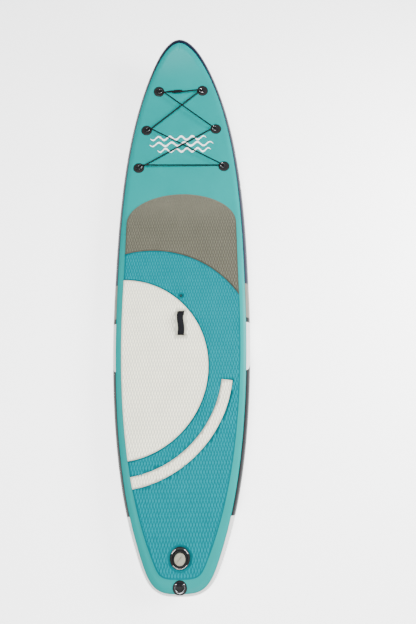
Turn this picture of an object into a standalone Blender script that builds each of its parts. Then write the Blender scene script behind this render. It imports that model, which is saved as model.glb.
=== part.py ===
"""Inflatable stand up paddleboard: a drop-stitch air chamber with a foam deck pad, a bungee tie-down,
a carry strap, an inflation valve, a leash ring and two fin boxes. Metres, +Z up, +Y to the nose,
+X to starboard. The origin is below the middle of the length, on the surface that the board rests on."""

import math

import bmesh
import bpy
from mathutils import Matrix, Vector

# Overall size
LENGTH = 3.353
THICK = 0.127
GAP = 0.0003  # between pieces that touch

# Air chamber
SKIN = 0.0011  # deck and hull laminate
BAND = 0.0012  # coloured outer sidewall
LINER = 0.0008  # airtight sidewall inside it
PANEL_RADIUS = THICK / 2  # the sides are half rounds as high as the chamber
BAND_ANGLE = 55.0  # degrees above and below the middle that the coloured sidewall covers
BAND_STEPS = 6
SEAM_ANGLE = BAND_ANGLE * 2 / 3  # where the skins meet the liner, under the sidewall's edge
SKIN_ANGLES = (SEAM_ANGLE, BAND_ANGLE, 74.0, 90.0)

# Edge of the flat panel, half of it: (x, distance from the tail) of Bezier knots and handles
PANEL_EDGE = (
    ((0.000, 0.065), (0.110, 0.065), (0.122, 0.069), (0.190, 0.257)),
    ((0.190, 0.257), (0.370, 0.750), (0.354, 1.535), (0.354, 1.760)),
    ((0.354, 1.760), (0.354, 3.145), (0.060, 3.288), (0.000, 3.288)),
)
TAIL_STEPS = 7  # stations round the tail's corner
TAIL_CAP = 3  # of them across the blunt tail, which share one flat face
# Distances from the tail where the panel bends, clear of the bungee anchors
BENDS = (0.40, 0.56, 0.76, 1.00, 1.28, 1.55, 1.76, 2.05, 2.24, 2.43, 2.515, 2.61, 2.71, 2.795)
BENDS += (2.89, 2.996, 3.078, 3.14, 3.19, 3.23, 3.26, 3.277, 3.285)
BAND_JOIN = 10  # the station where the front and rear sidewalls meet

# Rocker: the nose curls up from 60 % of the length, the tail kicks up a little
NOSE_START = 0.60 * LENGTH
NOSE_LIFT = 0.085
NOSE_CURL = 0.170
TAIL_START = 0.125
TAIL_LIFT = 0.008

# Deck pad
PAD = 0.005
PAD_JOINT = 0.0006  # between two colours of foam
PAD_EDGE = (
    ((0.000, 0.097), (0.100, 0.097), (0.106, 0.103), (0.151, 0.204)),
    ((0.151, 0.204), (0.385, 0.720), (0.351, 1.535), (0.351, 1.760)),
    ((0.351, 1.760), (0.351, 1.860), (0.351, 1.960), (0.351, 2.067)),
    ((0.351, 2.067), (0.351, 2.180), (0.194, 2.272), (0.000, 2.272)),
)
PAD_STEPS = (6, 8, 1, 7)
FRONT_ARC = (-0.190, 1.236, 0.644)  # centre x, centre from the tail, radius
DISC = (-0.360, 1.170, 0.520)
STRIPE_INNER, STRIPE_OUTER = 0.600, 0.662
STRIPE_END = -8.0  # degrees round from starboard, towards the tail
ARC_STEPS = 14

# Bungee anchors: (name, half spacing, distance from the tail)
ANCHORS = (("front", 0.149, 3.037), ("middle", 0.235, 2.7525), ("rear", 0.283, 2.4725))
PATCH_RADIUS = 0.0365
PATCH = 0.0020
RING_WIRE = 0.0020  # radius
RING_HALF = 0.0130
RING_REACH = 0.0260
CORD = 0.0040  # radius
RING_SPACE = 0.0030  # room round the ring's bow, so that it can swing
WEB = 0.0014
WEB_HALF = 0.0085

# Leash anchor
LEASH_PATCH_RADIUS = 0.0365
LEASH_PATCH_SHIFT = 0.0075  # its middle is this far round the edge of the tail
LEASH_LAP = 0.027  # beyond this it climbs onto the sidewall
LEASH_BAR = 0.078  # distance from the tail
LEASH_WIRE = 0.0025
LEASH_HALF = 0.0235
LEASH_REACH = 0.0380
LEASH_WEB_HALF = 0.0165

# Carry strap
STRAP_HALF = 0.019
STRAP = 0.0022
STRAP_REAR, STRAP_FRONT = 1.344, 1.488
STRAP_HEIGHT = 0.024  # above the pad
STRAP_RISE = 0.003  # it comes straight up out of the pad this far
STRAP_SWAY = 0.0035
FOOT = 0.026

# Valve
VALVE_AT = 0.193
VALVE_RING_RADIUS = 0.063
VALVE_RING_ROOM = 0.0015  # between the ring and the pad
VALVE_FIT = 0.82  # the profiles are a full-size valve's, and this board has the slimmer one
VALVE_BORE = 0.0170

# Fin boxes: (name, distance of the middle from the tail)
FIN_BOXES = (("tail", 0.374), ("centre", 1.3415))
FIN_PAD_LENGTH, FIN_PAD_WIDTH, FIN_PAD = 0.345, 0.110, 0.0050
FIN_BOX_LENGTH, FIN_BOX_WIDTH, FIN_BOX_DEPTH = 0.305, 0.041, 0.036

# Insert in the deck, ahead of the strap
INSERT_AT = 1.585
INSERT_RADIUS = 0.0075

REST = FIN_PAD + GAP  # the fin boxes' base pads stand on the floor
DECK = REST + THICK  # height of the flat part of the deck


# ---------------------------------------------------------------- shared helpers
def material(name, colour, roughness, metallic=0.0):
    made = bpy.data.materials.new(name)
    made.use_nodes = True
    shader = made.node_tree.nodes["Principled BSDF"]
    shader.inputs["Base Color"].default_value = (*colour, 1.0)
    shader.inputs["Roughness"].default_value = roughness
    shader.inputs["Metallic"].default_value = metallic
    made.diffuse_color = (*colour, 1.0)
    return made


def add(name, points, faces, finish, place=None, smooth=40.0):
    """A mesh object with outward faces. `place` is its world matrix."""
    mesh = bpy.data.meshes.new(name)
    mesh.from_pydata([tuple(p) for p in points], [], faces)
    shape = bmesh.new()
    shape.from_mesh(mesh)
    bmesh.ops.remove_doubles(shape, verts=shape.verts, dist=1e-7)
    bmesh.ops.recalc_face_normals(shape, faces=shape.faces)
    shape.to_mesh(mesh)
    shape.free()
    mesh.shade_smooth()
    mesh.set_sharp_from_angle(angle=math.radians(smooth))
    thing = bpy.data.objects.new(name, mesh)
    bpy.context.scene.collection.objects.link(thing)
    if place is not None:
        thing.matrix_world = place
    if finish is not None:
        mesh.materials.append(finish)
    return thing


def shell(name, outer, inner, faces, finish):
    """A closed body between two matching sheets, with a wall along every free edge."""
    count = len(outer)
    kept = []
    for face in faces:
        ring = [a for a, b in zip(face, face[1:] + face[:1]) if a != b]
        if len(set(ring)) > 2:
            kept.append(ring)
    edges = {(a, b) for ring in kept for a, b in zip(ring, ring[1:] + ring[:1])}
    walls = [(b, a, a + count, b + count) for a, b in edges if (b, a) not in edges]
    lining = [tuple(i + count for i in reversed(ring)) for ring in kept]
    return add(name, [*outer, *inner], kept + lining + sorted(walls), finish)


def prism(name, outline, low, high, finish=None, place=None):
    """A closed outline of (x, y) points, extruded from low to high."""
    count = len(outline)
    points = [(x, y, low) for x, y in outline] + [(x, y, high) for x, y in outline]
    sides = [(i, (i + 1) % count, (i + 1) % count + count, i + count) for i in range(count)]
    ends = [tuple(reversed(range(count))), tuple(range(count, 2 * count))]
    return add(name, points, sides + ends, finish, place)


def lathe(name, profile, finish, place, segments=24):
    """A closed profile of (radius, height) points, turned about the local Z axis."""
    points, rings = [], []
    for radius, height in profile:
        spokes = segments if radius > 0 else 1
        rings.append([len(points) + k % spokes for k in range(segments)])
        for k in range(spokes):
            turn = 2 * math.pi * k / segments
            points.append((radius * math.cos(turn), radius * math.sin(turn), height))
    faces = []
    for a, b in zip(rings, rings[1:] + rings[:1]):
        for k in range(segments):
            n = (k + 1) % segments
            ring = list(dict.fromkeys((a[k], a[n], b[n], b[k])))
            if len(ring) > 2:
                faces.append(ring)
    return add(name, points, faces, finish, place)


def tube(name, route, radius, finish, closed=False, detail=2, place=None):
    """A round bar or cord along a list of points."""
    line = bpy.data.curves.new(name, "CURVE")
    line.dimensions = "3D"
    line.bevel_depth = radius
    line.bevel_resolution = detail
    line.use_fill_caps = not closed
    spline = line.splines.new("POLY")
    spline.points.add(len(route) - 1)
    for point, at in zip(spline.points, route):
        point.co = (*at, 1.0)
    spline.use_cyclic_u = closed
    line.materials.append(finish)
    thing = bpy.data.objects.new(name, line)
    bpy.context.scene.collection.objects.link(thing)
    if place is not None:
        thing.matrix_world = place
    return thing


def cut(thing, cutter, operation="DIFFERENCE"):
    step = thing.modifiers.new(cutter.name, "BOOLEAN")
    step.operation = operation
    step.solver = "EXACT"
    step.object = cutter
    cutter.hide_render = True
    cutter.display_type = "WIRE"


def stadium(length, width, steps=8):
    """A slot outline along Y, with round ends."""
    radius, straight = width / 2, (length - width) / 2
    outline = []
    for sign in (1, -1):
        for k in range(steps + 1):
            turn = math.pi * k / steps + (0 if sign > 0 else math.pi)
            outline.append((radius * math.cos(turn), sign * straight + radius * math.sin(turn)))
    return outline


# ---------------------------------------------------------------- the board's form
def rocker(s):
    """Rise and slope of the board's middle surface at a distance s from the tail."""
    nose = max(0.0, (s - NOSE_START) / (LENGTH - NOSE_START))
    tail = max(0.0, (TAIL_START - s) / TAIL_START)
    rise = NOSE_LIFT * nose**2 + NOSE_CURL * nose**8 + TAIL_LIFT * tail**2
    curl = (2 * NOSE_LIFT * nose + 8 * NOSE_CURL * nose**7) / (LENGTH - NOSE_START)
    return rise, curl - 2 * TAIL_LIFT * tail / TAIL_START


def bezier(knots, t):
    """Point and direction of a cubic curve in the plane."""
    a, b, c, d = (Vector(k) for k in knots)
    r = 1 - t
    at = a * r**3 + b * (3 * t * r * r) + c * (3 * t * t * r) + d * t**3
    along = (b - a) * (r * r) + (c - b) * (2 * t * r) + (d - c) * (t * t)
    return at, along


def chain(curves, steps):
    """(x, s) points along curves that follow each other."""
    points = [bezier(curves[0], 0.0)[0]]
    for knots, count in zip(curves, steps):
        points += [bezier(knots, (k + 1) / count)[0] for k in range(count)]
    return points


class Station:
    """A place on the edge of the flat panel, with the frame that its half-round side is built in."""

    def __init__(self, knots, t):
        at, along = bezier(knots, t)
        self.x, self.s = at
        rise, slope = rocker(self.s)
        stretch = math.sqrt(1 + slope**2)
        self.middle = Vector((0.0, self.s - LENGTH / 2, REST + PANEL_RADIUS + rise))
        self.ahead = Vector((0.0, 1.0, slope)) / stretch
        self.up = Vector((0.0, -slope, 1.0)) / stretch
        self.out = Vector((along.y * stretch, -along.x)).normalized()

    def side(self, sign, radius, angle):
        """A point of the half round, at an angle in degrees above its middle."""
        turn = math.radians(angle)
        flat = radius * math.cos(turn)
        x = max(self.x + flat * self.out.x, 0.0)
        return (
            self.middle
            + Vector((sign * x, 0.0, 0.0))
            + self.ahead * (flat * self.out.y)
            + self.up * (radius * math.sin(turn))
        )


def station_at(s):
    """The station at a distance from the tail, ahead of the tail's corner."""
    knots = PANEL_EDGE[1] if s < PANEL_EDGE[2][0][1] else PANEL_EDGE[2]
    low, high = 0.0, 1.0
    for _ in range(40):
        middle = (low + high) / 2
        if bezier(knots, middle)[0].y < s:
            low = middle
        else:
            high = middle
    return Station(knots, (low + high) / 2)


STATIONS = [Station(PANEL_EDGE[0], k / TAIL_STEPS) for k in range(TAIL_STEPS + 1)]
STATIONS += [station_at(s) for s in BENDS] + [Station(PANEL_EDGE[2], 1.0)]
LAST = len(STATIONS) - 1


def bed(x, s, height):
    """A point over the panel, at a height from its middle. The panel is straight between stations."""
    low = TAIL_CAP
    while low < LAST - 1 and STATIONS[low + 1].s < s:
        low += 1
    a, b = STATIONS[low], STATIONS[low + 1]
    share = (s - a.s) / (b.s - a.s)
    start, end = a.middle + a.up * height, b.middle + b.up * height
    return start.lerp(end, share) + Vector((x, 0.0, 0.0))


def seat(x, s, height, heading):
    """World matrix of a place on the deck: local X along the heading, Z off the deck."""
    at = bed(x, s, PANEL_RADIUS + height)
    ahead = (bed(x, s + 0.01, PANEL_RADIUS) - bed(x, s - 0.01, PANEL_RADIUS)).normalized()
    across = Vector((1.0, 0.0, 0.0))
    u = across * math.cos(heading) + ahead * math.sin(heading)
    v = ahead * math.cos(heading) - across * math.sin(heading)
    n = across.cross(ahead)
    place = Matrix((u, v, n)).transposed().to_4x4()
    place.translation = at
    return place


def draped(x, s, heading, points):
    """Local (u, v, height above the deck) points, laid on the deck round a place."""
    out = []
    for u, v, height in points:
        along = u * math.sin(heading) + v * math.cos(heading)
        across = u * math.cos(heading) - v * math.sin(heading)
        flat = along / math.sqrt(1 + rocker(s)[1] ** 2)
        out.append(bed(x + across, s + flat, PANEL_RADIUS + height))
    return out


def both_sides(rows):
    """Numbers for points on both sides. The points at the tail's middle and the nose tip are shared."""
    number, order = {}, []
    for i in range(LAST + 1):
        for sign in (-1, 1):
            for k in range(rows):
                if sign > 0 and i in (0, LAST):
                    number[sign, i, k] = number[-1, i, k]
                else:
                    number[sign, i, k] = len(order)
                    order.append((sign, i, k))
    return number, order


def side_faces(number, rows, rising=True):
    """Triangles of a half-round side. Their diagonals run the same way in every layer."""
    faces = []
    for sign in (-1, 1):
        for i in range(LAST):
            for k in range(rows - 1):
                near, far = ([number[sign, at, row] for row in (k, k + 1)] for at in (i, i + 1))
                faces += [face[::sign] for face in split(near, far, rising)]
    return faces


def split(near, far, rising):
    """Two triangles between two stations, split from the near station's lower point upwards."""
    if rising:
        return [[near[0], far[0], far[1]], [near[0], far[1], near[1]]]
    return [[near[0], far[0], near[1]], [near[1], far[0], far[1]]]


# ---------------------------------------------------------------- air chamber
def chamber_skin(name, way, finish):
    """Deck (way 1) or hull (way -1): a flat panel whose edges turn down over the half-round sides."""
    angles = [SKIN_ANGLES[0] + math.degrees(GAP / 2 / PANEL_RADIUS), *SKIN_ANGLES[1:]]
    rows = len(angles)
    number, order = both_sides(rows)
    outer, inner = (
        [STATIONS[i].side(sign, radius, way * angles[k]) for sign, i, k in order]
        for radius in (PANEL_RADIUS, PANEL_RADIUS - SKIN)
    )
    faces = side_faces(number, rows, way > 0)
    top = rows - 1
    cap = [number[-1, i, top] for i in range(TAIL_CAP, -1, -1)]
    faces.append(cap + [number[1, i, top] for i in range(1, TAIL_CAP + 1)])
    for i in range(TAIL_CAP, LAST):
        ring = [number[1, i, top], number[1, i + 1, top]]
        faces.append(ring + [number[-1, i + 1, top], number[-1, i, top]])
    return shell(name, outer, inner, faces, finish)


def chamber_liner(finish):
    edge = SEAM_ANGLE - math.degrees(GAP / 2 / PANEL_RADIUS)
    step = BAND_ANGLE * 2 / BAND_STEPS
    angles = [-edge, *(step * k for k in range(-1, 2)), edge]
    number, order = both_sides(len(angles))
    outer, inner = (
        [STATIONS[i].side(sign, radius, angles[k]) for sign, i, k in order]
        for radius in (PANEL_RADIUS, PANEL_RADIUS - LINER)
    )
    shell("rail_liner", outer, inner, side_faces(number, len(angles)), finish)


def sidewall(name, sign, first, last, finish):
    """One length of the coloured outer sidewall, between two stations."""
    radius = PANEL_RADIUS + GAP
    angles = [BAND_ANGLE * (2 * k / BAND_STEPS - 1) for k in range(BAND_STEPS + 1)]
    rows = len(angles)
    ends = []
    for size in (radius + BAND, radius):
        points = []
        for i in range(first, last + 1):
            for angle in angles:
                at = STATIONS[i].side(sign, size, angle)
                if i in (0, LAST):
                    at.x = sign * GAP / 2
                if i == BAND_JOIN:
                    at += STATIONS[i].ahead * (GAP if last == LAST else -GAP)
                points.append(at)
        ends.append(points)
    faces = []
    for i in range(last - first):
        for k in range(rows - 1):
            a = i * rows + k
            faces += [face[::-sign] for face in split((a, a + 1), (a + rows, a + rows + 1), True)]
    return shell(name, ends[0], ends[1], faces, finish)


def stitch_core(finish):
    """The woven cloth on the hull side, and bundles of the yarn that ties it to the deck side.
    Each bundle stands for hundreds of threads. The cloth is left out over the fin boxes."""
    half, cloth = 0.004, 0.0008
    end = PANEL_RADIUS - SKIN - GAP
    bundles_x = (-0.22, -0.08, 0.08, 0.22)
    bundles_s = [0.60 + 0.27 * k for k in range(9)]
    boxes = [(at - FIN_BOX_LENGTH / 2 - 0.02, at + FIN_BOX_LENGTH / 2 + 0.02) for _, at in FIN_BOXES]
    lines_x = {x + d for x in bundles_x for d in (-half, half)} | {-0.235, -0.03, 0.03, 0.235}
    lines_s = {s + d for s in bundles_s for d in (-half, half)} | {0.56, 2.80, *boxes[1]}
    lines_x, lines_s = sorted(lines_x), sorted(lines_s)
    heights = (-end, -end + cloth, end)

    def solid(i, j, k):
        if not (0 <= i < len(lines_x) - 1 and 0 <= j < len(lines_s) - 1 and 0 <= k < 2):
            return False
        x, s = (lines_x[i] + lines_x[i + 1]) / 2, (lines_s[j] + lines_s[j + 1]) / 2
        if k == 0:
            return not (abs(x) < 0.03 and any(low < s < high for low, high in boxes))
        in_row = any(abs(s - at) < half for at in bundles_s)
        return in_row and any(abs(x - at) < half for at in bundles_x)

    number, points, faces = {}, [], []

    def corner(i, j, k):
        if (i, j, k) not in number:
            number[i, j, k] = len(points)
            points.append(bed(lines_x[i], lines_s[j], heights[k]))
        return number[i, j, k]

    steps = ((1, 0, 0), (0, 1, 0), (0, 0, 1))
    for cell in ((i, j, k) for i in range(len(lines_x)) for j in range(len(lines_s)) for k in (0, 1)):
        if not solid(*cell):
            continue
        for axis in range(3):
            for way in (0, 1):
                beside = tuple(c + s * (2 * way - 1) for c, s in zip(cell, steps[axis]))
                if solid(*beside):
                    continue
                a, b = steps[(axis + 1) % 3], steps[(axis + 2) % 3]
                base = tuple(c + s * way for c, s in zip(cell, steps[axis]))
                ring = [tuple(c + p * u + q * v for c, p, q in zip(base, a, b))
                        for u, v in ((0, 0), (1, 0), (1, 1), (0, 1))]
                faces.append([corner(*at) for at in (ring if way else ring[::-1])])
    add("drop_stitch_core", points, faces, finish)


# ---------------------------------------------------------------- deck pad
def arc(centre, radius, start, end, steps=ARC_STEPS):
    turns = [math.radians(start + (end - start) * k / steps) for k in range(steps + 1)]
    return [(centre[0] + radius * math.cos(t), centre[1] + radius * math.sin(t)) for t in turns]


def pad_slab(name, finish):
    """The whole pad's outline as one slab on the deck."""
    edge = chain(PAD_EDGE, PAD_STEPS)
    last, cap = len(edge) - 1, 2
    low = PANEL_RADIUS + GAP
    number, order = {}, []
    for i, (x, s) in enumerate(edge):
        for sign in (-1, 1):
            if sign > 0 and i in (0, last):
                number[sign, i] = number[-1, i]
            else:
                number[sign, i] = len(order)
                order.append((sign * x, s))
    top, bottom = ([bed(x, s, h) for x, s in order] for h in (low + PAD, low))
    faces = [[number[-1, i] for i in range(cap, -1, -1)] + [number[1, i] for i in range(1, cap + 1)]]
    for i in range(cap, last):
        faces.append([number[-1, i], number[1, i], number[1, i + 1], number[-1, i + 1]])
    return shell(name, top, bottom, faces, finish)


def region(name, outline):
    moved = [(x, s - LENGTH / 2) for x, s in outline]
    return prism(name, moved, 0.0, 0.4)


def pad_regions(shift, kind):
    """Cutters for the three inlaid colours, each grown by shift."""
    far = 0.60
    x, s, radius = FRONT_ARC
    front = [(far, 2.5), (-far, 2.5)]
    front = [*arc((x, s), radius - shift, 20, 140), *reversed(front)]
    x, s, radius = DISC
    disc = [*arc((x, s), radius + shift, -90, 90), (-far, s + radius), (-far, s - radius)]
    step = math.degrees(shift / STRIPE_OUTER)
    stripe = arc((x, s), STRIPE_OUTER + shift, -90, STRIPE_END + step)
    stripe += arc((x, s), STRIPE_INNER - shift, STRIPE_END + step, -90)
    stripe += [(-far, s - STRIPE_INNER + shift), (-far, s - STRIPE_OUTER - shift)]
    outlines = {"front": front, "disc": disc, "stripe": stripe}
    return {key: region(f"cut_{kind}_{key}", outline) for key, outline in outlines.items()}


def deck_pad(teal, grey, cream):
    inlay = pad_regions(-PAD_JOINT / 2, "inlay")
    field = pad_regions(PAD_JOINT / 2, "field")
    pieces = {
        "front": pad_slab("pad_front", grey),
        "disc": pad_slab("pad_disc", cream),
        "stripe": pad_slab("pad_stripe", cream),
    }
    for key, piece in pieces.items():
        cut(piece, inlay[key], "INTERSECT")
    main = pad_slab("pad_main", teal)
    for cutter in field.values():
        cut(main, cutter)
    valve = Matrix.Translation((0.0, VALVE_AT - LENGTH / 2, DECK))
    ring_hole = VALVE_FIT * VALVE_RING_RADIUS + VALVE_RING_ROOM
    cut(main, lathe("cut_pad_valve", cylinder(ring_hole, -0.01, 0.02), None, valve, 32))
    insert = Matrix.Translation((0.0, INSERT_AT - LENGTH / 2, DECK))
    cut(main, lathe("cut_pad_insert", cylinder(INSERT_RADIUS + GAP, -0.01, 0.02), None, insert, 16))
    for key, at, way in (("rear", STRAP_REAR, 1), ("front", STRAP_FRONT, -1)):
        slot = box_outline(STRAP_HALF + 0.0006, at - way * 0.0008, at + way * (STRAP + 0.0008))
        cut(pieces["disc"], region_between(f"cut_slot_{key}", slot, -0.001, 0.02))
        pocket = box_outline(0.0245, at - way * 0.0045, at + way * (FOOT + 0.018))
        cut(pieces["disc"], region_between(f"cut_pocket_{key}", pocket, -0.001, 0.0042))


def cylinder(radius, low, high):
    return [(0.0, low), (radius, low), (radius, high), (0.0, high)]


def box_outline(half, start, end):
    low, high = sorted((start, end))
    return [(-half, low), (half, low), (half, high), (-half, high)]


def region_between(name, outline, low, high):
    """A cutter over the flat part of the deck, between two heights from it."""
    moved = [(x, s - LENGTH / 2) for x, s in outline]
    return prism(name, moved, DECK + low, DECK + high)


# ---------------------------------------------------------------- bungee tie-down
def patch(name, x, s, heading, radius, finish, spokes=24):
    """A round reinforcing patch with a thin edge, laid on the deck."""
    levels = ((radius, GAP), (radius, GAP + 0.0011), (radius - 0.004, GAP + PATCH))
    points, faces = [(0.0, 0.0, GAP)], []
    for size, height in levels:
        for k in range(spokes):
            turn = 2 * math.pi * k / spokes
            points.append((size * math.cos(turn), size * math.sin(turn), height))
    points.append((0.0, 0.0, GAP + PATCH))
    for k in range(spokes):
        n = (k + 1) % spokes
        faces.append((0, 1 + n, 1 + k))
        faces.append((len(points) - 1, 1 + 2 * spokes + k, 1 + 2 * spokes + n))
        for level in (0, spokes):
            faces.append((1 + level + k, 1 + level + n, 1 + level + n + spokes, 1 + level + k + spokes))
    return add(name, draped(x, s, heading, points), faces, finish)


def ring_outline(half, reach, wire):
    """A D ring's centre line: the bar lies on local Y, the bow reaches along +X."""
    corner = 1.2 * wire
    route = [(0.0, -half + corner), (0.0, half - corner), (corner * 0.3, half - corner * 0.3)]
    route.append((corner, half))
    route += arc((reach - half, 0.0), half, 90, -90, 10)
    route += [(corner, -half), (corner * 0.3, -half + corner * 0.3)]
    return [(x, y, 0.0) for x, y in route]


def web_loop(bar, wire, half, tail, nose, thick=WEB):
    """A strip of webbing over a ring's bar, glued down on both sides. Points are (u, v, height)."""
    low = GAP + PATCH + GAP
    inner = wire + 0.0004
    over = [(bar[0] + (inner + thick) * math.cos(t), bar[1] + (inner + thick) * math.sin(t))
            for t in (math.pi * k / 6 for k in range(7))]
    under = [(bar[0] + inner * math.cos(t), bar[1] + inner * math.sin(t))
             for t in (math.pi * k / 6 for k in range(6, -1, -1))]
    profile = [(nose, low), (nose, low + thick), (over[0][0] + 0.0008, low + thick), *over]
    profile += [(over[-1][0] - 0.0008, low + thick), (tail, low + thick), (tail, low)]
    profile += [(under[0][0], low), *under, (under[-1][0], low)]
    count = len(profile)
    points = [(u, v, z) for v in (-half, half) for u, z in profile]
    faces = [(i, (i + 1) % count, (i + 1) % count + count, i + count) for i in range(count)]
    return points, faces + [tuple(range(count)), tuple(range(2 * count - 1, count - 1, -1))]


def ring_frame(x, s, heading):
    """Where an anchor's ring hangs: its bar on the patch, its bow raised over the cord."""
    bar = GAP + PATCH + 0.0004 + RING_WIRE
    bow = GAP + PATCH + GAP + 2 * CORD + RING_SPACE + RING_WIRE
    tilt = math.asin((bow - bar) / RING_REACH)
    return seat(x, s, bar, heading) @ Matrix.Rotation(-tilt, 4, "Y")


def anchor_headings():
    """Direction of each port ring: midway between the two stretches of cord that pull it."""
    (_, fx, fs), (_, mx, ms), (_, rx, rs) = ANCHORS
    forward = math.atan2(fs - ms, fx + mx)
    aft = math.atan2(ms - rs, mx + rx)
    return {"front": -forward / 2, "middle": (forward - aft) / 2, "rear": aft / 2}


def anchors(rubber, webbing, steel):
    frames = {}
    headings = anchor_headings()
    for name, half, s in ANCHORS:
        for side, sign in (("port", -1), ("starboard", 1)):
            heading = headings[name] if sign < 0 else math.pi - headings[name]
            x = sign * half
            label = f"{name}_{side}"
            patch(f"anchor_patch_{label}", x, s, heading, PATCH_RADIUS, rubber)
            bar = (0.0, GAP + PATCH + 0.0004 + RING_WIRE)
            points, faces = web_loop(bar, RING_WIRE, WEB_HALF, -0.017, 0.0085)
            add(f"anchor_web_{label}", draped(x, s, heading, points), faces, webbing)
            frame = ring_frame(x, s, heading)
            route = ring_outline(RING_HALF, RING_REACH, RING_WIRE)
            tube(f"anchor_ring_{label}", route, RING_WIRE, steel, True, 1, frame)
            frames[name, sign] = frame
    return frames


def turn_round(frame, rising):
    """The cord's way round a ring's bow, from above it to below it, or the other way."""
    bend = RING_WIRE + RING_SPACE + CORD
    tilt = math.asin(frame.col[0][2])
    level = frame @ Matrix.Translation((RING_REACH, 0.0, 0.0)) @ Matrix.Rotation(tilt, 4, "Y")
    turns = [math.radians(90 + 180 * k / 6) for k in range(7)]
    route = [level @ Vector((bend * math.cos(t), 0.0, bend * math.sin(t))) for t in turns]
    return route[::-1] if rising else route


def bungee(frames, cord, wrap):
    """One elastic cord, laced through the six rings. Its ends lie side by side under a lashing."""
    # From the lashing: round the port front ring from below, then above to the starboard middle ring.
    order = [("front", -1, True), ("middle", 1, False), ("rear", -1, True)]
    order += [("rear", 1, True), ("middle", -1, False), ("front", 1, True)]
    turns = [turn_round(frames[name, sign], rising) for name, sign, rising in order]
    start, end = turns[0][0], turns[-1][-1]
    ahead = Vector((0.0, CORD + GAP, 0.0))
    heart = start.lerp(end, 0.40)
    way = (end - start).normalized()
    first, last = heart + way * 0.036, heart - way * 0.036
    route = [first + ahead, first.lerp(last, 0.5) + ahead, last + ahead]
    route.append(start.lerp(last, 0.5) + ahead * 0.4)
    for turn, following in zip(turns, turns[1:] + [None]):
        route += turn
        if following is not None:
            route += [turn[-1].lerp(following[0], share) for share in (0.03, 0.35, 0.65, 0.97)]
    route.append(end.lerp(first, 0.5) - ahead * 0.4)
    route += [first - ahead, first.lerp(last, 0.5) - ahead, last - ahead]
    tube("bungee_cord", route, CORD, cord)
    across = way.cross(Vector((0.0, 0.0, 1.0))).normalized()
    frame = Matrix((across, way.cross(across) * -1, way)).transposed().to_4x4()
    frame.translation = heart
    inner = stadium_outline(CORD + 0.0004, 2 * (CORD + GAP))
    outer = stadium_outline(CORD + 0.0019, 2 * (CORD + GAP))
    count = len(outer)
    rings = ((outer, -0.022), (outer, 0.022), (inner, 0.022), (inner, -0.022))
    points = [(x, y, z) for ring, z in rings for x, y in ring]
    faces = []
    for level in range(4):
        for k in range(count):
            n = (k + 1) % count
            base, following = level * count, (level + 1) % 4 * count
            faces.append((base + k, base + n, following + n, following + k))
    add("bungee_lashing", points, faces, wrap, frame)


def stadium_outline(radius, spread, steps=6):
    """A slot outline along X round two cords that lie `spread` apart."""
    outline = []
    for sign in (1, -1):
        for k in range(steps + 1):
            turn = math.pi * k / steps - math.pi / 2 + (0 if sign > 0 else math.pi)
            outline.append((sign * spread / 2 + radius * math.cos(turn), radius * math.sin(turn)))
    return outline


# ---------------------------------------------------------------- leash ring
def tail_wrap(points):
    """(u, v, height) points laid on the deck at the tail and down its rounded edge. +u is aft."""
    edge = STATIONS[0]
    out = []
    for u, v, height in points:
        if u <= 0:
            out.append(bed(v, edge.s - u, PANEL_RADIUS + height))
            continue
        climb = min(max((u - LEASH_LAP) / 0.007, 0.0), 1.0)
        radius = PANEL_RADIUS + height + climb * (BAND + GAP)
        turn = u / PANEL_RADIUS
        at = edge.middle - edge.ahead * (radius * math.sin(turn)) + edge.up * (radius * math.cos(turn))
        out.append(at + Vector((v, 0.0, 0.0)))
    return out


def leash_anchor(rubber, webbing, steel):
    """A round patch wrapped over the edge of the tail, with a D ring for the leash."""
    radius, rows, spokes = LEASH_PATCH_RADIUS, 14, 6
    heights = (GAP, GAP + PATCH)
    sheets = []
    for height in heights:
        points = []
        for i in range(rows + 1):
            u = -radius * math.cos(math.pi * i / rows)
            half = math.sqrt(max(radius**2 - u**2, 0.0))
            half = max(half, 0.004)
            u += LEASH_PATCH_SHIFT
            points += [(u, half * (2 * k / spokes - 1), height) for k in range(spokes + 1)]
        sheets.append(tail_wrap(points))
    step = spokes + 1
    faces = [[i * step + k, i * step + k + 1, (i + 1) * step + k + 1, (i + 1) * step + k]
             for i in range(rows) for k in range(spokes)]
    shell("leash_patch", sheets[1], sheets[0], faces, rubber)
    back = STATIONS[0].s - LEASH_BAR
    bar = (back, GAP + PATCH + 0.0004 + LEASH_WIRE)
    points, faces = web_loop(bar, LEASH_WIRE, LEASH_WEB_HALF, back - 0.011, back + 0.0125)
    add("leash_web", tail_wrap(points), faces, webbing)
    frame = seat(0.0, LEASH_BAR, bar[1], -math.pi / 2)
    route = ring_outline(LEASH_HALF, LEASH_REACH, LEASH_WIRE)
    tube("leash_ring", route, LEASH_WIRE, steel, True, 1, frame)


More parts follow.
